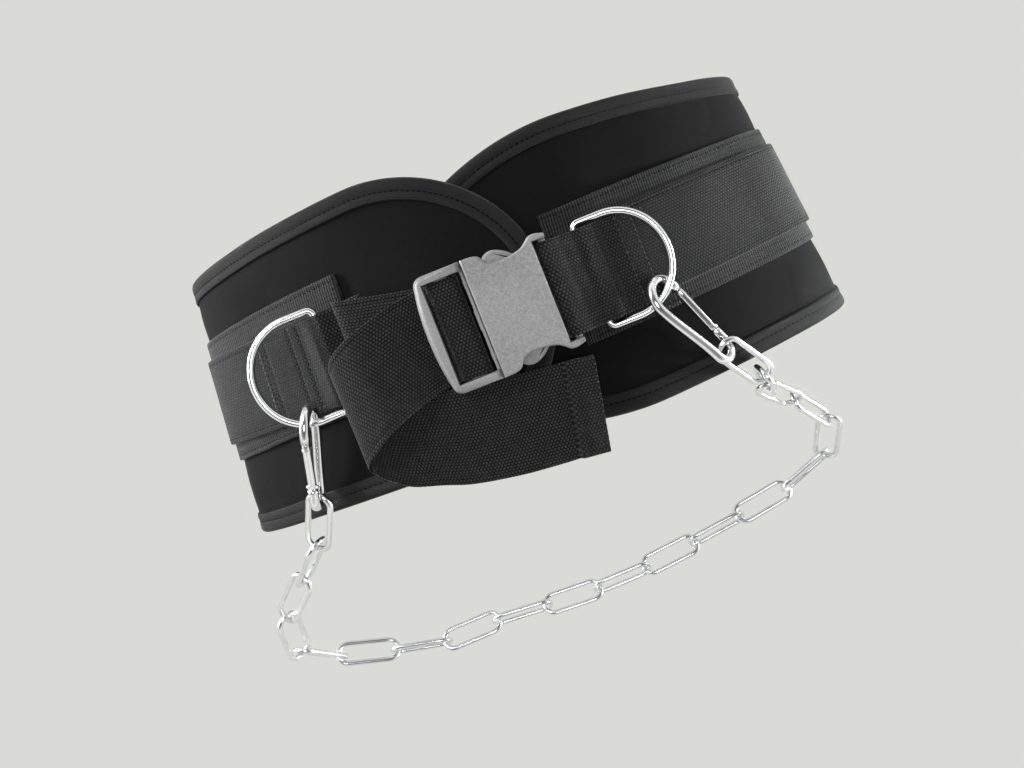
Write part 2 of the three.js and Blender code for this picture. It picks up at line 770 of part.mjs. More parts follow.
const PLUG_X0 = -42.0, // bulge of the outer bar
  PLUG_XI = -35.8, // its straight inner side
  PLUG_X1 = -15.1; // shoulder against the socket
function plugGeometry() {
  // frame
  let s = plate(
    [
      [-42.0, 0.01],
      [-41.9, 6],
      [-41.3, 14],
      [-40.1, 22],
      [-38.9, 27.2],
      [-36.4, 29.2],
      [PLUG_X1, 29.6],
    ],
    ZB0 + 5.3,
    ZB1 - 0.4,
    0.8,
  );
  // window
  s = s.subtract(solid(box(PLUG_XI, -16.6, BUCKLE_Y - 25.2, BUCKLE_Y + 25.2, ZB0 - 2, ZB1 + 2)));
  // middle bar
  s = s.add(
    solid(box(-29.4, -22.8, BUCKLE_Y - 26, BUCKLE_Y + 26, ZB0 + 5.2, ZB0 + 7.7)),
  );
  // tongue and prongs inside the socket
  s = s.add(solid(box(-17, 12, BUCKLE_Y - 5, BUCKLE_Y + 5, ZM - 1.6, ZM + 1.6)));
  for (const e of [-1, 1]) {
    const pr = [
      [-17, 20.0],
      [-8, 20.4],
      [-5.5, 24.6],
      [-3.6, 27.6],
      [0.3, 29.0],
      [5.2, 27.6],
      [9.6, 24.4],
      [11.8, 21.8],
      [11.6, 19.6],
      [0, 17.4],
      [-10, 16.4],
      [-17, 16.2],
    ];
    const sh = new THREE.Shape(pr.map(([x, w]) => new THREE.Vector2(x, e * w)));
    const g = new THREE.ExtrudeGeometry(sh, { depth: 5.4, bevelEnabled: false, curveSegments: 1 });
    s = s.add(solid(g.translate(0, BUCKLE_Y, ZM - 2.8)));
  }
  return fromSolid(s);
}

// ---------------------------------------------------------------- build
const BLACK = 0x1c1c1e,
  WEB = 0x2b2b2d,
  TAPE = 0x343437,
  PLASTIC = 0x8f8f8f,
  STEEL = 0xd8d8da,
  ZINC = 0xc4c5c7;
addMesh("pad", padGeometry(), BLACK, 0.9);
addMesh("edge_binding", bindingGeometry(), TAPE, 0.85);
addMesh(
  "wide_band",
  sewn(bandL0, bandL1, (L) => edge(L, "band"), BAND_W, H_BAND, BAND_T),
  WEB,
  0.8,
);
addMesh(
  "belt_strap",
  sewn(strapL0, strapL1, (L) => edge(L, "strap"), STRAP_W, H_STRAP, STRAP_T),
  WEB,
  0.8,
);
// webbing sewn over the left D-ring's bar
{
  const L = (x) => runAt(x, -1);
  const H0 = H_TOP + GAP,
    H1 = H0 + RING_D + 2 * GAP;
  const rows = table(
    ["x", "h"],
    [
      [-131, H0],
      [-102, H0 + 0.3],
      [-97.5, H0 + 2.2],
      [-93.6, H1 + 0.2],
      [-88.4, H1 + 0.2],
      [-84.5, H0 + 2.2],
      [-80, H0 + 0.2],
      [-66.5, H0],
    ],
  ).reverse();
  const lr = rows.map((r) => ({ L: L(r.x), h: r.h }));
  const h = (l) => at(lr, "L", "h", l);
  const g = sewn(lr[0].L, lr[lr.length - 1].L, () => 2.8, STRAP_W - 2.2, h, STRAP_T, lr.slice(1, -1).map((r) => r.L));
  addMesh("left_ring_strap", g, WEB, 0.8);
}
for (const r of RINGS)
  addMesh(
    `${r.name}_d_ring`,
    wire(ringLine(r.o, r.ex, r.ey), RING_D, { closed: true, sides: 8, up: r.n }),
    STEEL,
    0.18,
    1,
  );
addMesh("buckle_socket", socketGeometry(), PLASTIC, 0.45);
addMesh("buckle_plug", plugGeometry(), PLASTIC, 0.45);
addMesh("buckle_loop", ribbon(BUCKLE_LOOP, steps(9), 23.8), WEB, 0.8);
addMesh("tail_strap", ribbon(TAIL, steps(9), STRAP_W / 2), WEB, 0.8);
for (const h of HOOKS) {
  const line = hookLine().map(([t, u]) => h.at(t, u));
  addMesh(`${h.name}_hook`, wire(line, HOOK_D, { sides: 8, up: h.n }), STEEL, 0.2, 1);
  // gate: rod with its rivet
  const g0 = h.at(GATE_T0, -hookOutline(GATE_T0)),
    g1 = h.at(GATE_T1, -hookOutline(GATE_T1));
  const p = h.at(PIVOT_T, -hookOutline(PIVOT_T));
  let s = solid(wire([g0, g1], GATE_D, { sides: 8, up: h.n }));
  const e = HOOK_D / 2 + 0.5;
  s = s.add(
    solid(
      wire([p.clone().addScaledVector(h.n, -e), p.clone().addScaledVector(h.n, e)], 1.6, {
        sides: 8,
        up: h.a,
      }),
    ),
  );
  addMesh(`${h.name}_hook_gate`, fromSolid(s), STEEL, 0.25, 1);
}
CHAIN.forEach((l, i) => {
  const { pts, up } = linkLine(l);
  addMesh(
    `chain_link_${String(i + 1).padStart(2, "0")}`,
    wire(pts, LINK_D, { closed: true, sides: 6, up }),
    ZINC,
    0.25,
    1,
  );
});

// move the origin to the floor under the middle of the whole outline
for (const m of group.children) m.geometry.translate(...ORIGIN);

export default group;
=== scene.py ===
import math

import bmesh
import bpy
import numpy as np
from mathutils import Matrix, Vector


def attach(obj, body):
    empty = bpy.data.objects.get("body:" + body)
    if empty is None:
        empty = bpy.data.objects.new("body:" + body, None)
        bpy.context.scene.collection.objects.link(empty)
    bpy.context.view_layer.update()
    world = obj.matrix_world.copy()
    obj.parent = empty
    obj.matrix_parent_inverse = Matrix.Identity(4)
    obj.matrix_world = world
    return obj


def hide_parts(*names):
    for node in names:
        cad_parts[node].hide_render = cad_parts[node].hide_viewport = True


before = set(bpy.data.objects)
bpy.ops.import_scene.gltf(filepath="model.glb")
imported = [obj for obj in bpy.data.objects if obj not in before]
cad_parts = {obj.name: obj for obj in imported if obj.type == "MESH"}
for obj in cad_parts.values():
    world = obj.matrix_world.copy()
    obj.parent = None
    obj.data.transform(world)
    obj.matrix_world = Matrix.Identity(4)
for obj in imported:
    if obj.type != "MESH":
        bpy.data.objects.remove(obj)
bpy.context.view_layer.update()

# All shapes below are in millimetres from the middle of the belt's loop; the frame's origin is ORIGIN away.
ORIGIN = np.array([9.953, 64.601, 0.0])


def to_frame(p):
    return (np.asarray(p, float) + ORIGIN) / 1000.0


# ------------------------------------------------------------------ camera
FOCAL_PX = 722.0
cam_data = bpy.data.cameras.new("camera")
cam = bpy.data.objects.new("camera", cam_data)
bpy.context.scene.collection.objects.link(cam)
cam_data.sensor_width = 36.0
cam_data.lens = FOCAL_PX / 1024 * 36.0
cam_data.shift_x = 6.2 / 1024
cam_data.shift_y = -88.7 / 1024
cam_data.clip_start = 0.02
cam_data.clip_end = 20
cam.location = to_frame([0, 0, 484.0])
cam.rotation_euler = (0, 0, math.atan2(-0.3584, 0.9336) - math.radians(0.7))
bpy.context.scene.camera = cam


# ------------------------------------------------------------------ mesh helpers
def new_mesh(name, verts_mm, faces, material, loop_uv=None, smooth=True, ride="root"):
    me = bpy.data.meshes.new(name)
    v = to_frame(np.asarray(verts_mm, float).reshape(-1, 3))
    me.from_pydata(v.tolist(), [], [tuple(int(i) for i in f) for f in faces])
    me.update()
    if loop_uv is not None:
        layer = me.uv_layers.new(name="run")
        layer.data.foreach_set("uv", np.asarray(loop_uv, np.float32).ravel())
    me.materials.append(material)
    ob = bpy.data.objects.new(name, me)
    bpy.context.scene.collection.objects.link(ob)
    bm = bmesh.new()
    bm.from_mesh(me)
    bmesh.ops.recalc_face_normals(bm, faces=bm.faces)
    if bm.calc_volume(signed=True) < 0:
        bmesh.ops.reverse_faces(bm, faces=bm.faces)
    bm.to_mesh(me)
    bm.free()
    me.polygons.foreach_set("use_smooth", [smooth] * len(me.polygons))
    me.update()
    if ride:
        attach(ob, ride)
    return ob


def sharp(ob, degrees=35):
    """Smooth shading with creases above an angle."""
    me = ob.data
    bm = bmesh.new()
    bm.from_mesh(me)
    lim = math.radians(degrees)
    for e in bm.edges:
        e.smooth = not (len(e.link_faces) == 2 and e.calc_face_angle(0) > lim)
    bm.to_mesh(me)
    bm.free()


def sweep(rings, closed_path=False, closed_section=True, caps=True, u=None, v=None):
    """Quads through sections (m, n, 3). Returns verts, faces, uv for each face corner, in mm along and across."""
    R = np.asarray(rings, float)
    m, n, _ = R.shape
    if u is None:
        mid = R.mean(1)
        d = np.linalg.norm(np.diff(mid, axis=0), axis=1)
        u = np.concatenate([[0], np.cumsum(d)])
        if closed_path:
            u = np.append(u, u[-1] + np.linalg.norm(mid[0] - mid[-1]))
    if v is None:
        sec = R[m // 2]
        d = np.linalg.norm(np.diff(sec, axis=0), axis=1)
        v = np.concatenate([[0], np.cumsum(d)])
        if closed_section:
            v = np.append(v, v[-1] + np.linalg.norm(sec[0] - sec[-1]))
    faces, uv = [], []
    for i in range(m if closed_path else m - 1):
        k = (i + 1) % m
        for j in range(n if closed_section else n - 1):
            l = (j + 1) % n
            faces.append((i * n + j, i * n + l, k * n + l, k * n + j))
            uv += [(u[i], v[j]), (u[i], v[j + 1]), (u[i + 1], v[j + 1]), (u[i + 1], v[j])]
    if caps and not closed_path and closed_section:
        for i, flip in ((0, False), (m - 1, True)):
            # a strip section: first half on one face, second half back on the other
            idx = [i * n + j for j in range(n)]
            for j in range(n // 2 - 1):
                q = (idx[j], idx[j + 1], idx[n - 2 - j], idx[n - 1 - j])
                faces.append(q if flip else q[::-1])
                c = [(u[i], v[j]), (u[i], v[j + 1]), (u[i], v[j + 1]), (u[i], v[j])]
                uv += c if flip else c[::-1]
    return R.reshape(-1, 3), faces, uv


def tube(points, dia, closed=False, sides=16, up=(0, 0, 1), dias=None):
    """Round wire along a dense line of points. dias: diameter at each point."""
    P = np.asarray(points, float)
    m = len(P)
    if closed:
        T = np.roll(P, -1, 0) - np.roll(P, 1, 0)
    else:
        T = np.gradient(P, axis=0)
    T /= np.linalg.norm(T, axis=1)[:, None]
    up = np.asarray(up, float)
    U = up - (T @ up)[:, None] * T
    U /= np.linalg.norm(U, axis=1)[:, None]
    Wv = np.cross(T, U)
    a = 2 * np.pi * np.arange(sides) / sides
    r = (np.full(m, dia) if dias is None else np.asarray(dias, float)) / 2
    R = P[:, None, :] + r[:, None, None] * (
        U[:, None, :] * np.cos(a)[None, :, None] + Wv[:, None, :] * np.sin(a)[None, :, None]
    )
    return R


def tube_mesh(name, points, dia, material, closed=False, sides=16, up=(0, 0, 1), dias=None, ride="root"):
    R = tube(points, dia, closed, sides, up, dias)
    v, f, uv = sweep(R, closed_path=closed, caps=False)
    if not closed:
        n, m = sides, len(R)
        f.append(tuple(range(n))[::-1])
        f.append(tuple((m - 1) * n + j for j in range(n)))
        uv += [(0, 0)] * (2 * n)
    return new_mesh(name, v, f, material, uv, ride=ride)


def join(name, obs, ride="root"):
    """Several meshes as one piece; the first keeps its place in the list of materials."""
    with bpy.context.temp_override(active_object=obs[0], object=obs[0], selected_objects=obs, selected_editable_objects=obs):
        bpy.ops.object.join()
    obs[0].name = name
    obs[0].data.name = name
    return obs[0]


def smooth01(a, b, x):
    t = np.clip((np.asarray(x, float) - a) / (b - a), 0, 1)
    return t * t * (3 - 2 * t)


def catmull(points, n_per, alpha=0.25):
    """Centripetal curve through points."""
    P = np.asarray(points, float)
    out = []
    k = len(P)
    for i in range(k - 1):
        p1, p2 = P[i], P[i + 1]
        p0 = P[i - 1] if i > 0 else 2 * P[0] - P[1]
        p3 = P[i + 2] if i + 2 < k else 2 * P[-1] - P[-2]
        d0 = max(((p1 - p0) ** 2).sum() ** alpha, 1e-6)
        d1 = max(((p2 - p1) ** 2).sum() ** alpha, 1e-6)
        d2 = max(((p3 - p2) ** 2).sum() ** alpha, 1e-6)
        t1 = ((p1 - p0) / d0 - (p2 - p0) / (d0 + d1) + (p2 - p1) / d1) * d1
        t2 = ((p2 - p1) / d1 - (p3 - p1) / (d1 + d2) + (p3 - p2) / d2) * d1
        for w in np.arange(n_per) / n_per:
            out.append(p1 + t1 * w + (-3 * p1 + 3 * p2 - 2 * t1 - t2) * w**2 + (2 * p1 - 2 * p2 + t1 + t2) * w**3)
    out.append(P[-1])
    return np.array(out)


# ------------------------------------------------------------------ materials
def material(name, base, rough, metallic=0.0, sheen=0.0, sheen_rough=0.4, sheen_tint=(1, 1, 1), specular=0.5, coat=0.0):
    m = bpy.data.materials.new(name)
    m.use_nodes = True
    nt = m.node_tree
    b = nt.nodes["Principled BSDF"]
    b.inputs["Base Color"].default_value = (*base, 1)
    b.inputs["Roughness"].default_value = rough
    b.inputs["Metallic"].default_value = metallic
    b.inputs["Specular IOR Level"].default_value = specular
    if sheen:
        b.inputs["Sheen Weight"].default_value = sheen
        b.inputs["Sheen Roughness"].default_value = sheen_rough
        b.inputs["Sheen Tint"].default_value = (*sheen_tint, 1)
    if coat:
        b.inputs["Coat Weight"].default_value = coat
        b.inputs["Coat Roughness"].default_value = 0.1
    return m, nt, b


class G:
    """Short names for building node graphs."""

    def __init__(self, nt):
        self.nt = nt

    def _set(self, node, i, x):
        if isinstance(x, (int, float)):
            node.inputs[i].default_value = x
        else:
            self.nt.links.new(x, node.inputs[i])

    def m(self, op, a, b=None, c=None):
        n = self.nt.nodes.new("ShaderNodeMath")
        n.operation = op
        self._set(n, 0, a)
        if b is not None:
            self._set(n, 1, b)
        if c is not None:
            self._set(n, 2, c)
        return n.outputs[0]

    def uv(self):
        n = self.nt.nodes.new("ShaderNodeUVMap")
        n.uv_map = "run"
        s = self.nt.nodes.new("ShaderNodeSeparateXYZ")
        self.nt.links.new(n.outputs[0], s.inputs[0])
        return s.outputs[0], s.outputs[1]

    def coords(self):
        return self.nt.nodes.new("ShaderNodeTexCoord").outputs["Object"]

    def noise(self, vec, scale, detail=2.0, rough=0.5):
        n = self.nt.nodes.new("ShaderNodeTexNoise")
        n.inputs["Scale"].default_value = scale
        n.inputs["Detail"].default_value = detail
        n.inputs["Roughness"].default_value = rough
        self.nt.links.new(vec, n.inputs["Vector"])
        return n.outputs["Fac"]

    def stretch(self, vec, sx, sy, sz):
        n = self.nt.nodes.new("ShaderNodeMapping")
        n.inputs["Scale"].default_value = (sx, sy, sz)
        self.nt.links.new(vec, n.inputs["Vector"])
        return n.outputs[0]

    def ramp(self, fac, stops):
        n = self.nt.nodes.new("ShaderNodeValToRGB")
        e = n.color_ramp.elements
        while len(e) < len(stops):
            e.new(0.5)
        for el, (pos, col) in zip(e, stops):
            el.position = pos
            el.color = (*col, 1)
        self.nt.links.new(fac, n.inputs[0])
        return n.outputs[0]

    def bump(self, height, distance, strength=1.0, normal=None):
        n = self.nt.nodes.new("ShaderNodeBump")
        n.inputs["Distance"].default_value = distance
        n.inputs["Strength"].default_value = strength
        self.nt.links.new(height, n.inputs["Height"])
        if normal is not None:
            self.nt.links.new(normal, n.inputs["Normal"])
        return n.outputs[0]

    def pillow(self, x):
        """0 at whole numbers, 1 half way between."""
        f = self.m("FRACT", x)
        t = self.m("SUBTRACT", self.m("MULTIPLY", f, 2.0), 1.0)
        return self.m("SUBTRACT", 1.0, self.m("MULTIPLY", t, t))


def weave_material(name, pu, pv, dark, light, depth=0.0003, slant=0.0, sheen=0.35, rough=0.62, ribs=0.0):
    """Woven webbing: rows of short raised floats, half a step apart from row to row."""
    m, nt, b = material(name, light, rough, sheen=sheen, sheen_rough=0.07, specular=0.12)
    g = G(nt)
    u, v = g.uv()
    us = g.m("DIVIDE", u, pu)
    if slant:
        us = g.m("ADD", us, g.m("MULTIPLY", v, slant))
    vs = g.m("DIVIDE", v, pv)
    row = g.m("FLOOR", vs)
    half = g.m("MULTIPLY", g.m("FRACT", g.m("MULTIPLY", row, 0.5)), 1.0 - ribs)
    a = g.pillow(g.m("ADD", us, half))
    c = g.pillow(vs)
    h = g.m("POWER", g.m("MULTIPLY", a, g.m("POWER", c, 0.6 - 0.5 * ribs)), 0.7)
    obj = g.coords()
    fine = g.noise(obj, 2600, 2)
    fibre = g.noise(g.stretch(obj, 1, 1, 1), 240, 3)
    # colour follows float height: the hollows between floats are painted shade, near black; the fibre noise is the
    # yarn's own uneven tone
    fac = g.m("MULTIPLY", h, g.m("ADD", 0.72, g.m("MULTIPLY", fibre, 0.56)))
    col = g.ramp(fac, [(0.25, dark), (0.62, tuple(0.68 * x + 0.32 * y for x, y in zip(dark, light))), (1.0, light)])
    nt.links.new(col, b.inputs["Base Color"])
    hh = g.m("ADD", h, g.m("MULTIPLY", fine, 0.25))
    nt.links.new(g.bump(hh, depth), b.inputs["Normal"])
    rg = g.m("ADD", rough - 0.12, g.m("MULTIPLY", fibre, 0.24))
    nt.links.new(rg, b.inputs["Roughness"])
    return m


def neoprene_material():
    m, nt, b = material("neoprene_jersey", (0.0045, 0.0045, 0.0048), 0.82, sheen=0.06, sheen_rough=0.2, specular=0.06)
    g = G(nt)
    u, v = g.uv()
    obj = g.coords()
    # fine knit: narrow wales across, stitches along
    h = g.m("MULTIPLY", g.pillow(g.m("DIVIDE", u, 0.75)), g.pillow(g.m("DIVIDE", v, 0.55)))
    big = g.noise(obj, 14, 3)
    small = g.noise(obj, 900, 2)
    fac = g.m("ADD", g.m("MULTIPLY", big, 0.6), g.m("MULTIPLY", small, 0.4))
    col = g.ramp(fac, [(0.3, (0.0046, 0.0046, 0.0048)), (0.7, (0.0092, 0.0092, 0.0095))])
    nt.links.new(col, b.inputs["Base Color"])
    hh = g.m("ADD", g.m("MULTIPLY", h, 0.5), small)
    nt.links.new(g.bump(hh, 0.00008), b.inputs["Normal"])
    nt.links.new(g.m("ADD", 0.68, g.m("MULTIPLY", big, 0.2)), b.inputs["Roughness"])
    return m


def tape_material():
    m, nt, b = material("knit_tape", (0.012, 0.012, 0.013), 0.7, sheen=0.16, sheen_rough=0.14, specular=0.14)
    g = G(nt)
    u, v = g.uv()
    obj = g.coords()
    ribs = g.pillow(g.m("DIVIDE", v, 0.8))
    loops = g.pillow(g.m("ADD", g.m("DIVIDE", u, 1.1), g.m("MULTIPLY", g.m("FLOOR", g.m("DIVIDE", v, 0.8)), 0.5)))
    h = g.m("MULTIPLY", ribs, g.m("ADD", 0.5, g.m("MULTIPLY", loops, 0.5)))
    big = g.noise(obj, 40, 3)
    # colour follows rib and loop height: the hollows between them are painted shade, near black; the large noise is the
    # tape's own uneven tone
    fac = g.m("MULTIPLY", h, g.m("ADD", 0.7, g.m("MULTIPLY", big, 0.6)))
    col = g.ramp(fac, [(0.0, (0.002, 0.002, 0.0022)), (1.0, (0.024, 0.024, 0.025))])
    nt.links.new(col, b.inputs["Base Color"])
    nt.links.new(g.bump(h, 0.00018), b.inputs["Normal"])
    return m


def thread_material(name, col):
    m, nt, b = material(name, col, 0.85, specular=0.08)
    g = G(nt)
    obj = g.coords()
    n = g.noise(obj, 1500, 2)
    c = g.ramp(n, [(0.3, tuple(x * 0.6 for x in col)), (0.7, tuple(min(1, x * 1.3) for x in col))])
    nt.links.new(c, b.inputs["Base Color"])
    nt.links.new(g.bump(n, 0.0001), b.inputs["Normal"])
    return m


def metal_material(name, base, rough, spread, scratch):
    m, nt, b = material(name, base, rough, metallic=1.0)
    g = G(nt)
    obj = g.coords()
    n = g.noise(obj, 60, 4)
    s = g.noise(g.stretch(obj, 1, 1, 1), 700, 3)
    nt.links.new(g.m("ADD", rough - spread / 2, g.m("MULTIPLY", n, spread)), b.inputs["Roughness"])
    col = g.ramp(g.m("ADD", g.m("MULTIPLY", n, 0.6), g.m("MULTIPLY", s, 0.4)), [(0.3, tuple(x * 0.86 for x in base)), (0.62, base)])
    nt.links.new(col, b.inputs["Base Color"])
    nt.links.new(g.bump(g.m("ADD", n, g.m("MULTIPLY", s, 0.3)), scratch), b.inputs["Normal"])
    return m


def plastic_material():
    m, nt, b = material("satin_acetal", (0.2, 0.2, 0.201), 0.38, specular=0.4)
    g = G(nt)
    obj = g.coords()
    fine = g.noise(obj, 2200, 2)
    mid = g.noise(obj, 1100, 2)
    big = g.noise(obj, 30, 3)
    col = g.ramp(g.m("ADD", g.m("MULTIPLY", mid, 0.6), g.m("MULTIPLY", big, 0.4)), [(0.3, (0.17, 0.17, 0.171)), (0.7, (0.35, 0.35, 0.352))])
    nt.links.new(col, b.inputs["Base Color"])
    nt.links.new(g.bump(g.m("ADD", fine, mid), 0.00006), b.inputs["Normal"])
    nt.links.new(g.m("ADD", 0.33, g.m("MULTIPLY", big, 0.1)), b.inputs["Roughness"])
    return m


M_PAD = neoprene_material()
M_TAPE = tape_material()
M_BAND = weave_material("band_weave", 1.5, 2.4, (0.0004, 0.0004, 0.0005), (0.042, 0.0425, 0.0445), 0.00036, slant=0.05, sheen=0.75, ribs=0.85)
M_STRAP = weave_material("strap_weave", 1.75, 1.5, (0.0003, 0.0003, 0.0004), (0.044, 0.0445, 0.0465), 0.0004, sheen=0.6)
M_THREAD = thread_material("black_thread", (0.004, 0.004, 0.004))
M_CHROME = metal_material("chrome_wire", (0.93, 0.93, 0.935), 0.13, 0.1, 0.00002)
M_ZINC = metal_material("zinc_plate", (0.86, 0.865, 0.875), 0.24, 0.16, 0.00005)
M_PLASTIC = plastic_material()
M_PLASTIC.name = "satin_plastic"

# ------------------------------------------------------------------ the pad's outer face
PAD_T, BIND_W, BACK = 6.5, 10.0, 4.4
LOOP = [
    (22.2, 130.4), (10, 130.9), (-10, 130.7), (-30, 129.0), (-55, 124.5), (-80, 117.8), (-105, 109.3),
    (-130, 98.6), (-153.5, 86.2), (-169.3, 72.5), (-175.5, 57.0), (-171.5, 41.0), (-160, 26.0), (-140.5, 13.4),
    (-115, 6.2), (-90, BACK), (0, BACK), (90, BACK), (115, 6.2), (140.5, 13.4), (160, 26.0), (171.5, 41.0),
    (175.5, 57.0), (169.3, 72.5), (153.5, 86.2), (130, 97.5), (105, 107.6), (80, 115.0), (55, 120.2),
    (30, 121.2), (10, 120.2), (-10, 119.3), (-30, 117.2), (-50, 113.4), (-61, 110.4),
]
C = catmull(LOOP, 60)
flat = (np.abs(C[:, 0]) < 90) & (C[:, 1] < 20)
C[flat, 1] = BACK
seg = np.linalg.norm(np.diff(C, axis=0), axis=1)
CS = np.concatenate([[0], np.cumsum(seg)])
LEN = CS[-1]
GRID = np.linspace(0, LEN, 2600)
CX, CZ = np.interp(GRID, CS, C[:, 0]), np.interp(GRID, CS, C[:, 1])
TX, TZ = np.gradient(CX, GRID), np.gradient(CZ, GRID)
kern = np.exp(-0.5 * (np.arange(-20, 21) / 8.0) ** 2)
kern /= kern.sum()
TX = np.convolve(np.pad(TX, 20, mode="edge"), kern, "valid")
TZ = np.convolve(np.pad(TZ, 20, mode="edge"), kern, "valid")
tl = np.hypot(TX, TZ)
TX, TZ = TX / tl, TZ / tl
NX, NZ = TZ.copy(), -TX.copy()
if ((NX * CX + NZ * (CZ - 60)).mean()) < 0:
    NX, NZ = -NX, -NZ


def run_at(x, side):
    order = np.arange(len(GRID)) if side < 0 else np.arange(len(GRID))[::-1]
    xs = CX[order] - x
    hit = np.where(xs[:-1] * xs[1:] <= 0)[0][0]
    i, j = order[hit], order[hit + 1]
    f = (x - CX[i]) / (CX[j] - CX[i])
    return GRID[i] + f * (GRID[j] - GRID[i])


def taper(p):
    k = 1 - 0.08 * (p[..., 1] + 3) / 146
    w = smooth01(55, 140, np.abs(p[..., 0]))
    q = p.copy()
    q[..., 0] = p[..., 0] * (1 + (k - 1) * w)
    return q


def relief(L, y):
    """Slight waviness of the padded belt, the same for all that is sewn on it."""
    w = smooth01(0, 60, L) * smooth01(0, 60, LEN - L) * smooth01(9, 30, np.interp(L, GRID, CZ))
    return w * (0.22 * np.sin(L / 37.0 + 0.8) * np.cos(y / 33.0 + 0.4) + 0.14 * np.sin(L / 19.0 - y / 27.0))


def skin(L, y, h):
    L, y, h = np.broadcast_arrays(np.asarray(L, float), np.asarray(y, float), np.asarray(h, float))
    l = np.clip(L, 0, LEN)
    over = L - l
    x, z = np.interp(l, GRID, CX), np.interp(l, GRID, CZ)
    nx, nz = np.interp(l, GRID, NX), np.interp(l, GRID, NZ)
    tx, tz = np.interp(l, GRID, TX), np.interp(l, GRID, TZ)
    hh = h + relief(l, y)
    p = np.stack([x + nx * hh + tx * over, y, z + nz * hh + tz * over], -1)
    return taper(p)


EDGE = np.array([
    # u, top, bottom, band, strap
    [0.0, 78.0, -70.0, 8.0, 3.5],
    [0.1, 78.0, -70.5, 8.0, 3.2],
    [0.17, 76.5, -72.0, 6.5, 3.0],
    [0.27, 68.2, -75.6, 0.8, 2.5],
    [0.5, 67.8, -75.5, 0.5, 1.5],
    [0.73, 68.2, -75.6, 0.5, 0.5],
    [0.83, 74.5, -77.5, -2.0, -3.0],
    [0.9, 75.6, -78.0, -4.0, -6.0],
    [1.0, 75.6, -78.0, -4.6, -6.0],
])
# the table's straight pieces, with their corners eased
_u = np.linspace(0, 1, 801)
_k = np.exp(-0.5 * (np.arange(-30, 31) / 12.0) ** 2)
_k /= _k.sum()
EASED = [np.convolve(np.pad(np.interp(_u, EDGE[:, 0], EDGE[:, c]), 30, mode="edge"), _k, "valid") for c in range(1, 5)]


def edge(L, col):
    return np.interp(np.asarray(L, float) / LEN, _u, EASED[col])


END_L, END_R = (81.0, 4.0), (118.0, -2.0)


def pad_edges(L):
    L = np.asarray(L, float)
    top, bot = edge(L, 0), edge(L, 1)
    for s, (a, ym) in ((L, END_L), (LEN - L, END_R)):
        q = np.clip(1 - s / a, 0, 1)
        k = np.sqrt(np.maximum(0, 1 - q * q))
        top = np.where(s < a, ym + (top - ym) * k, top)
        bot = np.where(s < a, ym + (bot - ym) * k, bot)
    return top, bot


def dense_runs():
    """Stations along the pad, close together at its rounded ends."""
    f = np.linspace(0.03, math.pi / 2, 34)
    a = END_L[0] * (1 - np.cos(f))
    c = LEN - END_R[0] * (1 - np.cos(f))
    mid = np.arange(END_L[0] + 3, LEN - END_R[0] - 2, 3.2)
    return np.concatenate([a, mid, c[::-1]])


def band_edges(L):
    c = edge(L, 2)
    return c + 34.75, c - 34.75


BAND_L0, BAND_L1 = run_at(-77, -1), run_at(29, 1)
STRAP_L0, STRAP_L1 = run_at(-66, -1), run_at(35, 1)


def build_pad():
    Ls = dense_runs()
    top, bot = pad_edges(Ls)
    n = 29
    t = 0.5 - 0.5 * np.cos(np.linspace(0, np.pi, n))
    rings = []
    for L, tp, bt in zip(Ls, top, bot):
        half = max(0.6, (tp - bt) / 2)
        k = min(1.6, half * 0.4)
        y = bt + k + (tp - bt - 2 * k) * t
        # the foam stands a little proud between the webbing and the tape
        bt_u, bt_l = band_edges(L)
        inside = smooth01(BAND_L0 - 8, BAND_L0 + 2, L) * (1 - smooth01(BAND_L1 - 2, BAND_L1 + 8, L))
        up = np.clip((y - bt_u) / max(4.0, tp - 10 - bt_u), 0, 1)
        dn = np.clip((bt_l - y) / max(4.0, bt_l - bt - 10), 0, 1)
        crown = inside * 0.55 * (np.sin(np.pi * up) + np.sin(np.pi * dn))
        full = np.clip((y - bt - 10) / max(6.0, tp - bt - 20), 0, 1)
        crown += (1 - inside) * 0.45 * np.sin(np.pi * full)
        back = 0.5 * np.sin(np.pi * full)  # inner face
        o = skin(L, y, crown)
        i_ = skin(L, y, -PAD_T - back)
        nose_t = skin(L, tp - 0.35, -PAD_T / 2)
        nose_b = skin(L, bt + 0.35, -PAD_T / 2)
        q1 = skin(L, tp - k * 0.35, -0.7)
        q2 = skin(L, tp - k * 0.35, -PAD_T + 0.7)
        q3 = skin(L, bt + k * 0.35, -PAD_T + 0.7)
        q4 = skin(L, bt + k * 0.35, -0.7)
        ring = np.concatenate([o, [q1, nose_t, q2], i_[::-1], [q3, nose_b, q4]])
        rings.append(ring)
    R = np.array(rings)
    m, nn, _ = R.shape
    u = Ls
    v = np.concatenate([[0], np.cumsum(np.linalg.norm(np.diff(R[m // 2], axis=0), axis=1))])
    v = np.append(v, v[-1] + 3)
    vv, f, uv = sweep(R, caps=False, u=u, v=v)
    for i, flip in ((0, 0), (m - 1, 1)):
        cap = tuple(i * nn + j for j in range(nn))
        f.append(cap if flip else cap[::-1])
        uv += [(u[i], 0)] * nn
    return new_mesh("neoprene_pad", vv, f, M_PAD, uv)


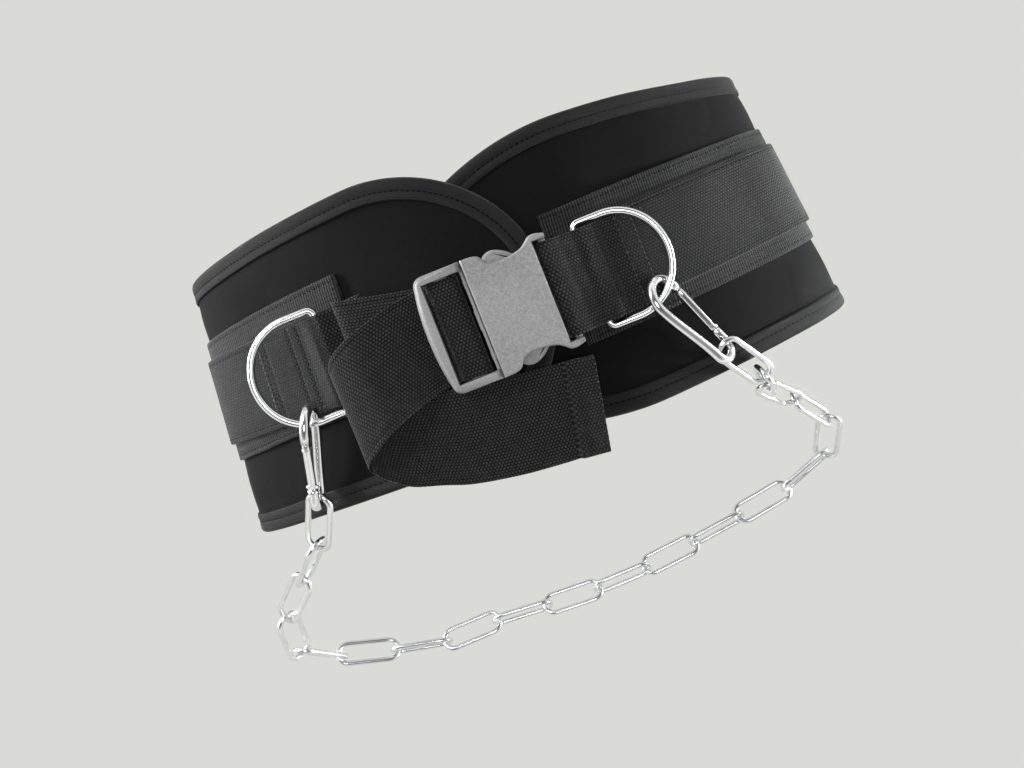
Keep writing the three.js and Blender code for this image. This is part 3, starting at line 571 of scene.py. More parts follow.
def outline():
    """The pad's edge as (run, y), top edge first, then back along the bottom, evenly spaced."""
    f = np.linspace(0, math.pi / 2, 60)
    la = END_L[0] * (1 - np.cos(f))
    lc = LEN - END_R[0] * (1 - np.cos(f[::-1]))
    mid = np.arange(END_L[0] + 1, LEN - END_R[0] - 0.5, 1.5)
    L = np.concatenate([la, mid, lc])
    t, b = pad_edges(L)
    P = np.concatenate([np.stack([L, t], 1), np.stack([L, b], 1)[::-1][1:-1]])
    d = np.linalg.norm(np.diff(np.vstack([P, P[:1]]), axis=0), axis=1)
    s = np.concatenate([[0], np.cumsum(d)])
    n = int(round(s[-1] / 2.6))
    q = np.linspace(0, s[-1], n, endpoint=False)
    X = np.interp(q, s, np.append(P[:, 0], P[0, 0]))
    Y = np.interp(q, s, np.append(P[:, 1], P[0, 1]))
    P = np.stack([X, Y], 1)
    T = np.roll(P, -1, 0) - np.roll(P, 1, 0)
    T /= np.linalg.norm(T, axis=1)[:, None]
    N = np.stack([-T[:, 1], T[:, 0]], 1)
    return P, N, s[-1]


# tape section, outer face to inner face: distance outside the pad's edge, height off its outer face
TAPE = [
    (-10.0, 0.42), (-10.05, 0.9), (-9.4, 1.2), (-7.6, 1.28), (-6.3, 1.05), (-5.5, 0.72), (-4.7, 1.05),
    (-3.2, 1.3), (-1.4, 1.28), (0.1, 0.85), (0.95, -0.2), (1.35, -1.6), (1.5, -PAD_T / 2),
]


def tape_point(P, N, d, h):
    return skin(P[:, 0] + N[:, 0] * d, P[:, 1] + N[:, 1] * d, h)


OUT_P, OUT_N, OUT_LEN = outline()


def build_tape():
    sec = TAPE + [(d, -PAD_T - h) for d, h in TAPE[::-1][1:]]
    sec += [(0.2, -PAD_T - 0.4), (0.42, -PAD_T / 2), (0.2, 0.4)]
    R = np.stack([tape_point(OUT_P, OUT_N, d, h) for d, h in sec], 1)
    return new_mesh("edge_tape", *_with(sweep(R, closed_path=True), M_TAPE))


def _with(sw, mat):
    v, f, uv = sw
    return v, f, mat, uv


def stitches(name, P, N, mat, dia=0.55, ratio=0.72):
    """Raised thread between neighbouring points: P the holes, N the outward normal there."""
    verts, faces = [], []
    for i in range(0, len(P) - 1):
        a, b = P[i], P[i + 1]
        t = b - a
        l = np.linalg.norm(t)
        t = t / l
        n = N[i] / np.linalg.norm(N[i])
        w = np.cross(t, n)
        c = (a + b) / 2
        hl = l * ratio / 2
        r = dia / 2
        k = len(verts)
        for x, s in ((-1.0, 0.35), (-0.55, 1.0), (0.55, 1.0), (1.0, 0.35)):
            q = c + t * hl * x + n * (0.0 if abs(x) < 1 else -r * 0.9)
            verts += [q + w * r * s, q + n * r * s, q - w * r * s, q - n * r * s]
        for j in range(3):
            for e in range(4):
                g_ = (e + 1) % 4
                faces.append((k + 4 * j + e, k + 4 * j + g_, k + 4 * j + 4 + g_, k + 4 * j + 4 + e))
        faces.append((k, k + 3, k + 2, k + 1))
        faces.append((k + 12, k + 13, k + 14, k + 15))
    return new_mesh(name, verts, faces, mat, smooth=True)


def stitch_line(L, y, h, pitch=3.0):
    """Holes evenly spaced along a line on the sewn layers, with normals."""
    P = skin(L, y, h)
    d = np.concatenate([[0], np.cumsum(np.linalg.norm(np.diff(P, axis=0), axis=1))])
    q = np.arange(0, d[-1], pitch)
    Lq, yq, hq = np.interp(q, d, L), np.interp(q, d, np.broadcast_to(y, L.shape)), np.interp(q, d, np.broadcast_to(h, L.shape))
    P = skin(Lq, yq, hq)
    N = skin(Lq, yq, hq + 1) - P
    return P, N


def strip_section(w, t, groove=3.0, deep=0.22):
    """Half width w, thickness t: (across, height) over the top from one selvedge to the other, then back beneath."""
    top = [(-w + 0.02, 0.35 * t), (-w, 0.7 * t), (-w + 0.35, 0.95 * t), (-w + 1.2, t), (-w + groove - 0.7, t), (-w + groove, t - deep), (-w + groove + 0.7, t)]
    mid = [(x, t) for x in np.linspace(-w + groove + 3, w - groove - 3, 13)]
    top = top + mid + [(-x, h) for x, h in top[::-1]]
    n = len(top)
    bottom = [(x, 0.0) for x in np.linspace(w - 0.2, -w + 0.2, n)]
    return top + bottom


def build_strip(name, L0, L1, centre, width, h0, thick, mat, step=2.6, extra=None):
    Ls = np.linspace(L0, L1, int((L1 - L0) / step) + 1)
    sec = strip_section(width / 2, thick)
    hs = h0(Ls) if callable(h0) else np.full(len(Ls), h0)
    cs = centre(Ls)
    dips = extra(Ls) if extra is not None else 0
    R = np.stack([skin(Ls, cs + x, hs + z + (dips if z > 0.5 * thick else 0)) for x, z in sec], 1)
    v = np.array([x for x, _ in sec[: len(sec) // 2]])
    v = np.concatenate([v + width / 2, [width + 1], v[::-1][1:] + width / 2 + 1, [width * 2]])
    v = np.concatenate([np.array([x for x, _ in sec]) + width / 2, [0.0]])
    vv, f, uv = sweep(R, u=Ls, v=v)
    return new_mesh(name, vv, f, mat, uv)


pad = build_pad()
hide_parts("pad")
tape = build_tape()
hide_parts("edge_binding")

H_BAND, BAND_T = 0.3, 1.8
H_STRAP, STRAP_T = 2.4, 2.0
H_TOP = 4.4
band = build_strip("wide_webbing", BAND_L0, BAND_L1, lambda L: edge(L, 2), 69.5, H_BAND, BAND_T, M_BAND)
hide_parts("wide_band")
strap = build_strip("belt_webbing", STRAP_L0, STRAP_L1, lambda L: edge(L, 3), 49.0, H_STRAP, STRAP_T, M_STRAP)
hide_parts("belt_strap")


# webbing over the left ring's bar
def left_h():
    H0 = H_TOP + 0.3
    H1 = H0 + 4 + 0.6
    rows = np.array([(-131, H0), (-102, H0 + 0.3), (-97.5, H0 + 2.2), (-93.6, H1 + 0.2), (-88.4, H1 + 0.2), (-84.5, H0 + 2.2), (-80, H0 + 0.2), (-66.5, H0)])[::-1]
    L = np.array([run_at(x, -1) for x in rows[:, 0]])
    return L, rows[:, 1]


LH_L, LH_H = left_h()
left_strap = build_strip(
    "left_ring_webbing", LH_L[0], LH_L[-1], lambda L: np.full(len(L), 2.8), 46.8,
    lambda L: np.interp(L, LH_L, LH_H), STRAP_T, M_STRAP, step=0.8,
    extra=lambda L: sum(-0.55 * np.exp(-(((L - run_at(x, -1)) / 0.9) ** 2)) for x in (-104.5, -110.5, -126.5)),
)
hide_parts("left_ring_strap")


# ------------------------------------------------------------------ free webbing
def ribbon(name, rows, half_width, mat, per_mm=1.6, cols=None, groove=3.0, grooves_at=()):
    """rows: x, y, z, lean, lift, half thickness. A strap edge-on through these middles."""
    A = np.array(rows, float)
    k = len(A)
    pts = []
    for i in range(k - 1):
        n = max(3, int(np.linalg.norm(A[i + 1, :3] - A[i, :3]) / per_mm))
        for t in np.arange(n) / n:
            g_ = lambda j: A[min(k - 1, max(0, j))]
            a, b, d, e = g_(i - 1), g_(i), g_(i + 1), g_(i + 2)
            r = 0.5 * (2 * b + (d - a) * t + (2 * a - 5 * b + 4 * d - e) * t**2 + (3 * b - a - 3 * d + e) * t**3)
            r[5] = b[5] + (d[5] - b[5]) * t
            pts.append(r)
    pts.append(A[-1])
    Q = np.array(pts)
    P = Q[:, :3]
    T = np.gradient(P, axis=0)
    T /= np.linalg.norm(T, axis=1)[:, None]
    lean, lift, half = Q[:, 3], Q[:, 4], Q[:, 5]
    Wd = np.stack([lean, np.sqrt(np.maximum(1, half_width**2 - lean**2 - lift**2)), lift], 1)
    Nn = np.cross(T, Wd)
    Nn /= np.linalg.norm(Nn, axis=1)[:, None]
    u = np.concatenate([[0], np.cumsum(np.linalg.norm(np.diff(P, axis=0), axis=1))])
    dent = np.zeros(len(P))
    for c, wd, dp in grooves_at:
        dent += dp * np.exp(-(((u - (c if c >= 0 else u[-1] + c)) / wd) ** 2))
    w = half_width
    top = [(-1.0, 0.3), (-1.0, 0.75), (-1 + 0.4 / w, 0.97), (-1 + 1.3 / w, 1.0), (-1 + (groove - 0.7) / w, 1.0), (-1 + groove / w, 0.8), (-1 + (groove + 0.7) / w, 1.0)]
    mid = [(x, 1.0) for x in np.linspace(-1 + (groove + 3) / w, 1 - (groove + 3) / w, 11)]
    top = top + mid + [(-x, h) for x, h in top[::-1]]
    sec = top + [(x, -h) for x, h in top[::-1]]
    R = []
    for x, h in sec:
        # thickness of a hem stays square at its sides
        R.append(P + Wd * x + Nn * (np.sign(h) * np.maximum(0.2, half * abs(h) - dent * (abs(h) > 0.9)))[:, None])
    R = np.stack(R, 1)
    v = np.concatenate([np.array([x for x, _ in sec]) * w + w, [0.0]])
    vv, f, uv = sweep(R, u=u, v=v)
    ob = new_mesh(name, vv, f, mat, uv)
    return ob, u[-1], P, Wd, Nn, u


BUCKLE_Y, T2 = -6.4, 1.0
TAIL = [
    (-52, -2.7, 130.4, 0, 0, T2), (-63, -0.2, 130.3, 0, 0, T2), (-73, 2.0, 129.1, 0, 0, T2),
    (-78.4, 3.0, 129.4, 0, 0, T2), (-80.2, 3.4, 131.1, 0, 0, T2), (-78.4, 3.2, 132.8, 0, 0, T2),
    (-72, 1.7, 133.3, 0, 0, T2), (-60, -0.9, 133.5, 0, 0, T2), (-44, -4.4, 133.9, 0, 0, T2),
    (-33, -6.2, 133.9, 0, 0, T2), (-24, BUCKLE_Y, 133.9, 0, 0, T2), (-20.6, BUCKLE_Y, 135.2, 0, 0, T2),
    (-19.4, BUCKLE_Y, 138.6, 0, 0, T2), (-20.4, BUCKLE_Y, 141.9, 0, 0, T2), (-23.4, BUCKLE_Y, 142.8, 0, 0, T2),
    (-28.9, BUCKLE_Y, 142.8, 0, 0, T2), (-31.7, BUCKLE_Y, 141.9, 0, 0, T2), (-32.7, BUCKLE_Y, 139.6, 0, 0, T2),
    (-34.3, BUCKLE_Y, 137.1, 0, 0, T2), (-37.5, BUCKLE_Y, 136.4, 0, 0, T2), (-43.5, -6.9, 136.7, 0, 0, T2),
    (-52, -8.4, 139.3, -1, 0, T2), (-64, -11.8, 142.4, -2, 0, T2), (-75, -15.8, 143.2, -3, 0, T2),
    (-84, -20.5, 142.0, -3, 0, T2), (-89.6, -25.5, 139.8, -1.5, 0, T2), (-91.2, -29.5, 137.6, 0, 0.6, T2),
    (-89.6, -34.0, 135.4, 0.5, 1.4, T2), (-84, -40.0, 133.3, 1, 2.4, T2), (-75, -46.5, 132.0, 2, 3.4, T2),
    (-60, -51.7, 131.7, 3, 4.2, T2), (-44, -56.7, 132.2, 4, 3.8, T2), (-20, -60.5, 133.6, 4.2, 2.6, T2),
    (0, -62.8, 134.1, 4.3, 3.2, T2), (10.2, -64.0, 134.2, 4.3, 4.4, T2), (11.0, -64.1, 134.8, 4.3, 4.4, 2.6),
    (24.0, -65.9, 134.4, 4.3, 5.0, 2.6),
]
tail, TAIL_LEN, TP, TW, TN, TU = ribbon("tail_webbing", TAIL, 24.5, M_STRAP, grooves_at=[(-10.4, 0.35, 0.35), (-7.6, 0.35, 0.3), (-2.2, 0.35, 0.35)])
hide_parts("tail_strap")

BUCKLE_LOOP = [
    (72.22, 122.74), (62.95, 124.59), (53.67, 126.38), (48.13, 129.41), (44.52, 131.5), (40.3, 131.6),
    (35, 133.6), (30.5, 134.6), (25.4, 135.7), (22.8, 136.7), (22.1, 139), (22.8, 141.3), (25.4, 142.3),
    (29.2, 141), (33, 138), (36.5, 136.3), (40.59, 134.1), (45.08, 133.96), (49.4, 131.92), (55, 128.79), (63.37, 127.06),
]
loop, LOOP_LEN, *_ = ribbon("buckle_webbing", [(x, -6.5, z, 0, 0, T2) for x, z in BUCKLE_LOOP], 23.8, M_STRAP, per_mm=0.8, grooves_at=[(-2.4, 0.7, 0.45), (-8.0, 0.8, 0.5), (-13.0, 0.8, 0.45)])
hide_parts("buckle_loop")

# ------------------------------------------------------------------ rings, hooks, chain
RING_D = 4.0


def d_ring(name, o, ex, ey, n):
    o, ex, ey = (np.array(x, float) for x in (o, ex, ey))
    r, hw, depth, rc, rise = RING_D / 2, 27.0, 40.5, 3.2, 15.0
    pts = []
    for y in np.linspace(-(hw - rc), hw - rc, 14)[:-1]:
        pts.append(o + ey * y)
    for f in np.linspace(0, np.pi / 2, 9)[:-1]:
        pts.append(o + ex * (rc - rc * np.cos(f)) + ey * (hw - rc + rc * np.sin(f)))
    for x in np.linspace(rc, rise, 6)[:-1]:
        pts.append(o + ex * x + ey * hw)
    for f in np.linspace(np.pi / 2, -np.pi / 2, 61):
        pts.append(o + ex * (rise + (depth - rise) * np.cos(f)) + ey * hw * np.sin(f))
    for x in np.linspace(rise, rc, 6)[1:]:
        pts.append(o + ex * x - ey * hw)
    for f in np.linspace(np.pi / 2, 0, 9)[1:]:
        pts.append(o + ex * (rc - rc * np.cos(f)) - ey * (hw - rc + rc * np.sin(f)))
    pts = np.array(pts[:-1])
    # the place of a butt weld on the side away from the belt's top, handed back; the wire keeps one diameter there
    seam = o + ex * 12.0 - ey * hw
    d = np.linalg.norm(pts - seam, axis=1)
    dias = RING_D + 0.0 * d
    ring = tube_mesh(name, pts, RING_D, M_CHROME, closed=True, sides=20, up=n, dias=dias)
    return ring, seam


left_ring, seam_l = d_ring("left_ring", (-93.0999, 2.8, 120.9144), (-0.996, -0.0175, 0.0872), (-0.0174, 0.9998, 0.0015), (-0.0872, 0, -0.9962))
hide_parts("left_d_ring")
right_ring, seam_r = d_ring("right_ring", (42.6804, -6.6, 128.0779), (0.9998, 0, 0.0175), (0, 1, 0), (-0.0175, 0, 0.9998))
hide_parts("right_d_ring")

HOOK_L, HOOK_D, R1, R2 = 60.0, 5.0, 10.0, 6.5
TIP = HOOK_L - HOOK_D
GATE_T0, GATE_T1, PIVOT_T, GATE_D = 14.2, 41.0, 40.2, 4.2


def half_at(t):
    return R1 + (R2 - R1) * smooth01(R1, TIP - R2, t)


HOOKS = {
    "left": ((-110.6, -15.6, 130.0), (-0.3378, -0.8833, -0.325), (0.1161, 0.3035, -0.9457), (0.934, -0.3572, 0)),
    "right": ((68.71, -21.27, 130.81), (0.4471, -0.8793, -0.1639), (-0.6166, -0.4358, 0.6557), (-0.648, -0.1921, -0.737)),
}
for side, (tip, a, s, n) in HOOKS.items():
    tip, a, s, n = (np.array(x, float) for x in (tip, a, s, n))
    at = lambda t, u_: tip + a * t + s * u_
    pts = [at(GATE_T0 - 0.5, -float(half_at(GATE_T0 - 0.5)))]
    for f in np.linspace(-np.pi / 2, np.pi / 2, 33):
        pts.append(at(R1 - R1 * np.cos(f), R1 * np.sin(f)))
    for t in np.linspace(R1, TIP - R2, 26)[1:-1]:
        pts.append(at(t, float(half_at(t))))
    for f in np.linspace(np.pi / 2, -np.pi / 2, 29):
        pts.append(at(TIP - R2 + R2 * np.cos(f), R2 * np.sin(f)))
    for t in (45.5, 43.5, GATE_T1 + 0.6):
        pts.append(at(t, -float(half_at(t))))
    pts = np.array(pts)
    hook = tube_mesh(f"{side}_hook_wire", pts, HOOK_D, M_CHROME, sides=18, up=n)
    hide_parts(f"{side}_hook")
    g0, g1 = at(GATE_T0 + 0.15, -float(half_at(GATE_T0))), at(GATE_T1, -float(half_at(GATE_T1)))
    d = g1 - g0
    ln = np.linalg.norm(d)
    ts = np.array([0, 0.02, 0.1, 0.105, 0.13, 0.135, 0.3, 0.5, 0.7, 0.86, 0.865, 0.9, 0.905, 0.97, 1.0])
    ds = np.array([3.4, 4.0, 4.2, 4.9, 4.9, 4.2, 4.2, 4.2, 4.2, 4.2, 3.7, 3.7, 4.2, 4.2, 3.6])
    gate = tube_mesh(f"{side}_gate_rod", g0 + d * ts[:, None], GATE_D, M_CHROME, sides=18, up=n, dias=ds, ride=None)
    p = at(PIVOT_T, -float(half_at(PIVOT_T)))
    e = HOOK_D / 2 + 0.45
    rs = np.array([-e, -e + 0.25, -e + 0.5, e - 0.5, e - 0.25, e])
    rivet = tube_mesh(f"{side}_rivet", p + n * rs[:, None], 2.0, M_CHROME, sides=14, up=a, dias=[1.2, 1.9, 2.1, 2.1, 1.9, 1.2], ride=None)
    sharp(gate, 30)
    gate = join(f"{side}_gate_rod", [gate, rivet])
    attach(gate, f"{side}_gate")
    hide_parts(f"{side}_hook_gate")

LINK_D, LINK_L, LINK_W = 3.2, 42.1, 15.7
CHAIN = [
    # x, y, z, heading, slope, turn
    (-135.8, -74.8, 103.51, -121.4, 29.1, 12.3), (-154.6, -97.3, 84.84, -137.1, 33.1, -74.7),
    (-177.6, -117.3, 67.52, -138.8, 27.8, 15.6), (-193.3, -142.9, 51.08, -106.7, 32.1, -48.0),
    (-191.6, -167.0, 28.25, -60.1, 44.4, 45.9), (-169.3, -183.4, 11.43, -23.5, 15.7, -47.9),
    (-137.0, -194.5, 6.96, -12.3, -0.1, 53.3), (-102.3, -197.7, 6.60, 0.3, 2.7, -41.8),
    (-67.3, -198.9, 6.40, -4.2, 0.2, 46.7), (-32.3, -201.6, 6.61, -2.7, -0.4, -49.2),
    (2.8, -202.1, 6.15, 1.4, -0.6, 38.5), (37.7, -199.4, 6.52, 5.5, -0.3, -48.2),
    (72.5, -195.0, 6.33, 6.6, 0.7, 44.4), (107.1, -189.2, 7.00, 9.9, -2.5, -43.7),
    (140.2, -179.3, 10.10, 25.1, -10.7, 50.6), (156.6, -158.8, 25.48, 82.6, -37.1, -28.7),
    (147.4, -132.8, 43.77, 129.8, -29.8, 49.2), (127.1, -112.2, 63.56, 136.1, -38.2, -44.1),
    (114.4, -95.2, 90.42, 121.6, -64.5, 76.2), (101.4, -76.45, 114.2, 127.0, -28.3, -8.3),
]


def link_line(seg_n=14):
    r = (LINK_W - LINK_D) / 2
    hs = (LINK_L - LINK_D) / 2 - r
    pts = []
    for f in np.linspace(-np.pi / 2, np.pi / 2, seg_n + 1):
        pts.append((hs + r * np.cos(f), r * np.sin(f), 0))
    for x in np.linspace(hs, -hs, 9)[1:-1]:
        pts.append((x, r, 0))
    for f in np.linspace(np.pi / 2, 3 * np.pi / 2, seg_n + 1):
        pts.append((-hs + r * np.cos(f), r * np.sin(f), 0))
    for x in np.linspace(-hs, hs, 17)[1:-1]:
        pts.append((x, -r, 0))
    return np.array(pts)


LINK = link_line()
rng = np.random.default_rng(7)
for i, (x, y, z, hd, sl, tn) in enumerate(CHAIN, 1):
    M = Matrix.Rotation(math.radians(hd), 3, "Z") @ Matrix.Rotation(math.radians(sl), 3, "Y") @ Matrix.Rotation(math.radians(tn), 3, "X")
    M = np.array(M)
    pts = LINK @ M.T + np.array([x, y, z])
    # the weld in the middle of one side: two ends pressed together
    off = np.where((LINK[:, 1] < 0), np.abs(LINK[:, 0] - 1.2), 99)
    dias = LINK_D + 0.35 * np.exp(-((off / 1.6) ** 2)) - 0.55 * np.exp(-((off / 0.45) ** 2))
    link = tube_mesh(f"link_{i:02d}", pts, LINK_D, M_ZINC, closed=True, sides=14, up=M @ np.array([0, 0, 1.0]), dias=dias)
    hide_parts(f"chain_link_{i:02d}")

# ------------------------------------------------------------------ side release buckle
ZB0, ZB1 = 133.5, 145.9
ZM = (ZB0 + ZB1) / 2


def smooth_outline(half, n=5):
    """Half outline (x, half width) through a smooth curve, mirrored about the centre line."""
    P = catmull([(x, w) for x, w in half], n)
    return np.concatenate([P, np.stack([P[:, 0], -P[:, 1]], 1)[::-1]])


def clean(P):
    keep = [0]
    for i in range(1, len(P)):
        if np.linalg.norm(P[i] - P[keep[-1]]) > 0.12:
            keep.append(i)
    P = P[keep]
    if np.linalg.norm(P[0] - P[-1]) < 0.12:
        P = P[:-1]
    return P


def plate(name, P, levels, mat):
    """Closed outline P (x, y) carried through levels (z, inset)."""
    P = clean(np.asarray(P, float))
    T = np.roll(P, -1, 0) - np.roll(P, 1, 0)
    T /= np.linalg.norm(T, axis=1)[:, None]
    N = np.stack([-T[:, 1], T[:, 0]], 1)
    area = 0.5 * np.sum(P[:, 0] * np.roll(P[:, 1], -1) - np.roll(P[:, 0], -1) * P[:, 1])
    if area < 0:
        N = -N  # N points inward
    n = len(P)
    verts, faces = [], []
    for z, inset in levels:
        q = P + N * inset
        verts += [(x, y + BUCKLE_Y, z) for x, y in q]
    for k in range(len(levels) - 1):
        for j in range(n):
            l = (j + 1) % n
            faces.append((k * n + j, k * n + l, (k + 1) * n + l, (k + 1) * n + j))
    faces.append(tuple(range(n))[::-1])
    faces.append(tuple((len(levels) - 1) * n + j for j in range(n)))
    return new_mesh(name, verts, faces, mat, ride=None)


def block(x0, x1, y0, y1, z0, z1, mat=None, taper_top=0.0):
    v = [(x, y + BUCKLE_Y, z) for z in (z0, z1) for x, y in ((x0, y0), (x1, y0), (x1, y1), (x0, y1))]
    f = [(0, 3, 2, 1), (4, 5, 6, 7), (0, 1, 5, 4), (1, 2, 6, 5), (2, 3, 7, 6), (3, 0, 4, 7)]
    return new_mesh("block", v, f, mat or M_PLASTIC, ride=None)


def boolean(ob, other, op):
    me = None
    for solver in ("EXACT", "FAST"):
        m = ob.modifiers.new("b", "BOOLEAN")
        m.operation = op
        m.solver = solver
        m.object = other
        dg = bpy.context.evaluated_depsgraph_get()
        me = bpy.data.meshes.new_from_object(ob.evaluated_get(dg))
        ob.modifiers.clear()
        print("BOOLEAN", ob.name, solver, len(me.vertices))
        if len(me.vertices) > 8:
            break
    ob.data = me
    bpy.data.objects.remove(other)


def soften(ob, width_mm, segments=2, degrees=38):
    m = ob.modifiers.new("bevel", "BEVEL")
    m.width = width_mm / 1000
    m.segments = segments
    m.limit_method = "ANGLE"
    m.angle_limit = math.radians(degrees)
    m.use_clamp_overlap = True
    dg = bpy.context.evaluated_depsgraph_get()
    me = bpy.data.meshes.new_from_object(ob.evaluated_get(dg))
    ob.modifiers.clear()
    ob.data = me
    me.polygons.foreach_set("use_smooth", [True] * len(me.polygons))
    sharp(ob, 32)


SOCKET = [
    (-14.7, 29.4), (-9, 29.3), (-6, 28.4), (-4.6, 27.0), (-2.8, 24.2), (2.5, 22.9), (10, 23.4),
    (14.5, 24.6), (17.6, 26.8), (19.4, 28.2), (22.5, 28.6), (27.2, 27.4), (27.2, 25.4),
]
half = catmull(SOCKET[:-1], 5)
half = np.concatenate([[(-14.7, 0.0)], half, [(27.2, 25.4), (20.4, 25.4)]])
outline_s = np.concatenate([half, np.stack([half[:, 0], -half[:, 1]], 1)[::-1][:-1]])
socket = plate(
    "buckle_socket_shell", outline_s,
    [(ZB0 + 0.2, 0.6), (ZB0 + 0.5, 0.25), (ZB0 + 1.0, 0.0), (ZB1 - 1.3, 0.0), (ZB1 - 0.95, 0.08), (ZB1 - 0.5, 0.35), (ZB1 - 0.18, 0.68), (ZB1, 0.92)],
    M_PLASTIC,
)
boolean(socket, block(-8.6, 12.6, -40, 40, ZM - 3.5, ZM + 3.3), "DIFFERENCE")
boolean(socket, block(-16, -8.5, -27.4, 27.4, ZM - 3.49, ZM + 3.29), "DIFFERENCE")
boolean(socket, block(12.5, 17.6, -21.4, 21.4, ZM - 3.48, ZM + 3.28), "DIFFERENCE")
soften(socket, 0.28, 2)
bar = tube_mesh("socket_bar", np.array([(25.4, BUCKLE_Y + y, 139.0) for y in np.linspace(-26.2, 26.2, 9)]), 3.7, M_PLASTIC, sides=18, up=(0, 0, 1), ride=None)
socket = join("buckle_socket_shell", [socket, bar])
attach(socket, "root")
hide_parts("buckle_socket")

PLUG = [
    (-42.0, 0.0), (-41.9, 6), (-41.3, 14), (-40.1, 22), (-38.9, 27.2), (-36.4, 29.2), (-32.0, 29.6), (-15.1, 29.6),
]
ph = np.concatenate([catmull(PLUG[:7], 5), [PLUG[7]]])
outline_p = np.concatenate([ph, np.stack([ph[:, 0], -ph[:, 1]], 1)[::-1]])
plug = plate(
    "buckle_plug_frame", outline_p,
    [(ZB0 + 5.3, 0.6), (ZB0 + 5.7, 0.2), (ZB0 + 6.3, 0.0), (ZB1 - 3.6, 0.0), (ZB1 - 2.6, 0.35), (ZB1 - 1.6, 0.95), (ZB1 - 0.9, 1.6), (ZB1 - 0.5, 2.25), (ZB1 - 0.4, 2.6)],
    M_PLASTIC,
)
boolean(plug, block(-35.8, -16.6, -25.2, 25.2, ZB0 - 2, ZB1 + 2), "DIFFERENCE")
boolean(plug, block(-17.5, -14, -24.6, 24.6, ZB1 - 3.2, ZB1 + 2), "DIFFERENCE")
boolean(plug, block(-29.4, -22.8, -26, 26, ZB0 + 5.2, ZB0 + 7.7), "UNION")
boolean(plug, block(-17, 12, -5, 5, ZM - 1.6, ZM + 1.6), "UNION")
PRONG = [(-17, 20.0), (-8, 20.4), (-5.5, 24.6), (-3.6, 27.6), (0.3, 29.0), (5.2, 27.6), (9.6, 24.4), (11.8, 21.8), (11.6, 19.6), (0, 17.4), (-10, 16.4), (-17, 16.2)]
soften(plug, 0.3, 2)
prongs = []
for e in (-1, 1):
    P = np.concatenate([[PRONG[0]], catmull(PRONG[1:9], 5), PRONG[9:]])
    P = P * np.array([1, e])
    pr = plate(
        f"prong_{e}", P,
        [(ZM - 2.8, 1.0), (ZM - 2.5, 0.5), (ZM - 1.9, 0.12), (ZM - 1.2, 0.0), (ZM + 0.8, 0.0), (ZM + 1.6, 0.25), (ZM + 2.2, 0.75), (ZM + 2.6, 1.5)],
        M_PLASTIC,
    )
    sharp(pr, 50)
    prongs.append(pr)
plug = join("buckle_plug_frame", [plug] + prongs)
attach(plug, "root")
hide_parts("buckle_plug")

# ------------------------------------------------------------------ stitching
# the row that holds the tape, right round it on the front, in its groove
d = np.linalg.norm(np.diff(np.vstack([OUT_P, OUT_P[:1]]), axis=0), axis=1)
s_ = np.concatenate([[0], np.cumsum(d)])
q = np.arange(0, s_[-1], 3.0)
cl = lambda A: np.interp(q, s_, np.append(A, A[0]))
SP = np.stack([cl(OUT_P[:, 0]), cl(OUT_P[:, 1])], 1)
SN = np.stack([cl(OUT_N[:, 0]), cl(OUT_N[:, 1])], 1)
SN /= np.linalg.norm(SN, axis=1)[:, None]
P0 = tape_point(SP, SN, -5.5, 0.86)
P1 = tape_point(SP, SN, -5.5, 1.86)
st = stitches("tape_stitches", np.vstack([P0, P0[:1]]), np.vstack([P1 - P0, (P1 - P0)[:1]]), M_THREAD, dia=0.6)
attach(st, "root")
P0 = tape_point(SP, SN, -5.5, -PAD_T - 0.86)
P1 = tape_point(SP, SN, -5.5, -PAD_T - 1.86)
st = stitches("tape_stitches_inside", np.vstack([P0, P0[:1]]), np.vstack([P1 - P0, (P1 - P0)[:1]]), M_THREAD, dia=0.6)

# rows along the sewn webbing's edges
sewn = []
Ls = np.arange(BAND_L0 + 2, BAND_L1 - 2, 2.5)
for e in (-1, 1):
    P, N = stitch_line(Ls, edge(Ls, 2) + e * 31.75, H_BAND + BAND_T - 0.1, 3.2)
    sewn.append(stitches("row", P, N, M_THREAD, dia=0.5))
Ls = np.arange(STRAP_L0 + 2, STRAP_L1 - 2, 2.5)
for e in (-1, 1):
    P, N = stitch_line(Ls, edge(Ls, 3) + e * 21.5, H_STRAP + STRAP_T - 0.1, 3.2)
    sewn.append(stitches("row", P, N, M_THREAD, dia=0.5))


def across(L, y0, y1, h, pitch=2.6, dia=0.5, mat=None):
    P, N = stitch_line(np.full(20, L), np.linspace(y0, y1, 20), h, pitch)
    return stitches("row", P, N, mat or M_THREAD, dia=dia)


# ends of the wide band
for L in (BAND_L0 + 3.2, BAND_L1 - 3.2):
    c = float(edge(L, 2))
    sewn.append(across(L, c - 31, c + 31, H_BAND + BAND_T))
# left ring loop: rows each side of the bar and at its far end
for x in (-104.5, -110.5, -126.5, -129.3):
    L = run_at(x, -1)
    sewn.append(across(L, 2.8 - 20.5, 2.8 + 20.5, float(np.interp(L, LH_L, LH_H)) + STRAP_T - (0.5 if x > -127 else 0)))
rows = join("sewn_rows", sewn)
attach(rows, "root")

# ------------------------------------------------------------------ stage and light
# a lit, even backdrop, as a light table
fm, fnt, fb = material("pale_floor", (0.0, 0.0, 0.0), 1.0, specular=0.0)
fb.inputs["Emission Color"].default_value = (0.701, 0.708, 0.672, 1)
fb.inputs["Emission Strength"].default_value = 1.0
bpy.ops.mesh.primitive_plane_add(size=60, location=(0, 0, -0.0004))
floor = bpy.context.object
floor.name = "floor"
floor.data.materials.append(fm)

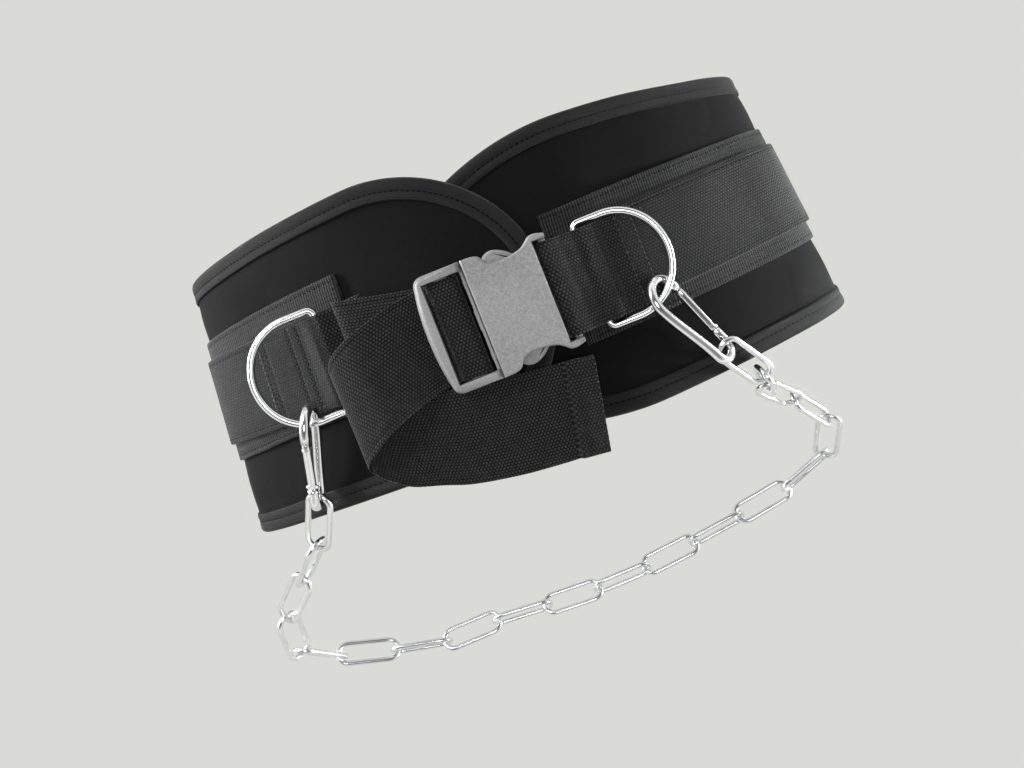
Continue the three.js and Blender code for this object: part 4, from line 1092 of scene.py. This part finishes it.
world = bpy.data.worlds.new("studio")
bpy.context.scene.world = world
world.use_nodes = True
wt = world.node_tree
bg = wt.nodes["Background"]
# the backdrop's own tone at the horizon, bright all round above it, dark overhead
gen = wt.nodes.new("ShaderNodeTexCoord")
sep = wt.nodes.new("ShaderNodeSeparateXYZ")
wt.links.new(gen.outputs["Generated"], sep.inputs[0])
sky = G(wt).ramp(sep.outputs[2], [(0.0, (0.668, 0.674, 0.64)), (0.12, (0.668, 0.674, 0.64)), (0.15, (1.0, 1.0, 1.0)), (0.35, (0.85, 0.85, 0.85)), (0.7, (0.3, 0.3, 0.3)), (0.93, (0.09, 0.09, 0.09))])
wt.links.new(sky, bg.inputs["Color"])
bg.inputs["Strength"].default_value = 1.05


def area(name, loc_mm, target_mm, size, power, spread=180.0):
    ld = bpy.data.lights.new(name, "AREA")
    ld.spread = math.radians(spread)
    ld.shape = "RECTANGLE"
    ld.size, ld.size_y = size
    ld.energy = power
    ob = bpy.data.objects.new(name, ld)
    bpy.context.scene.collection.objects.link(ob)
    ob.location = to_frame(loc_mm)
    ob.rotation_euler = (Vector(to_frame(target_mm)) - ob.location).to_track_quat("-Z", "Y").to_euler()
    return ob


UP = np.array([0.3584, 0.9336, 0])
RIGHT = np.array([0.9336, -0.3584, 0])
Z = np.array([0, 0, 1.0])
area("top", Z * 1500, (0, 0, 0), (0.5, 0.5), 6.0)
area("key", UP * 900 + Z * 1200 - RIGHT * 1300, (-40, 0, 90), (0.9, 0.7), 17.0)
area("right", RIGHT * 1500 + Z * 95 + UP * 100, (60, 0, 70), (1.1, 0.17), 13.0)
area("right_low", RIGHT * 1500 + Z * 45 + UP * 60, (150, -40, 45), (0.5, 0.05), 0.6, 9.0)
area("left", -RIGHT * 1500 + Z * 130 + UP * 150, (-60, 0, 70), (1.1, 0.2), 34.0)
area("left_low", -RIGHT * 1500 + Z * 45 + UP * 60, (-150, -20, 45), (0.5, 0.05), 0.2, 9.0)

bpy.context.scene.view_settings.view_transform = "Standard"
bpy.context.scene.view_settings.look = "None"
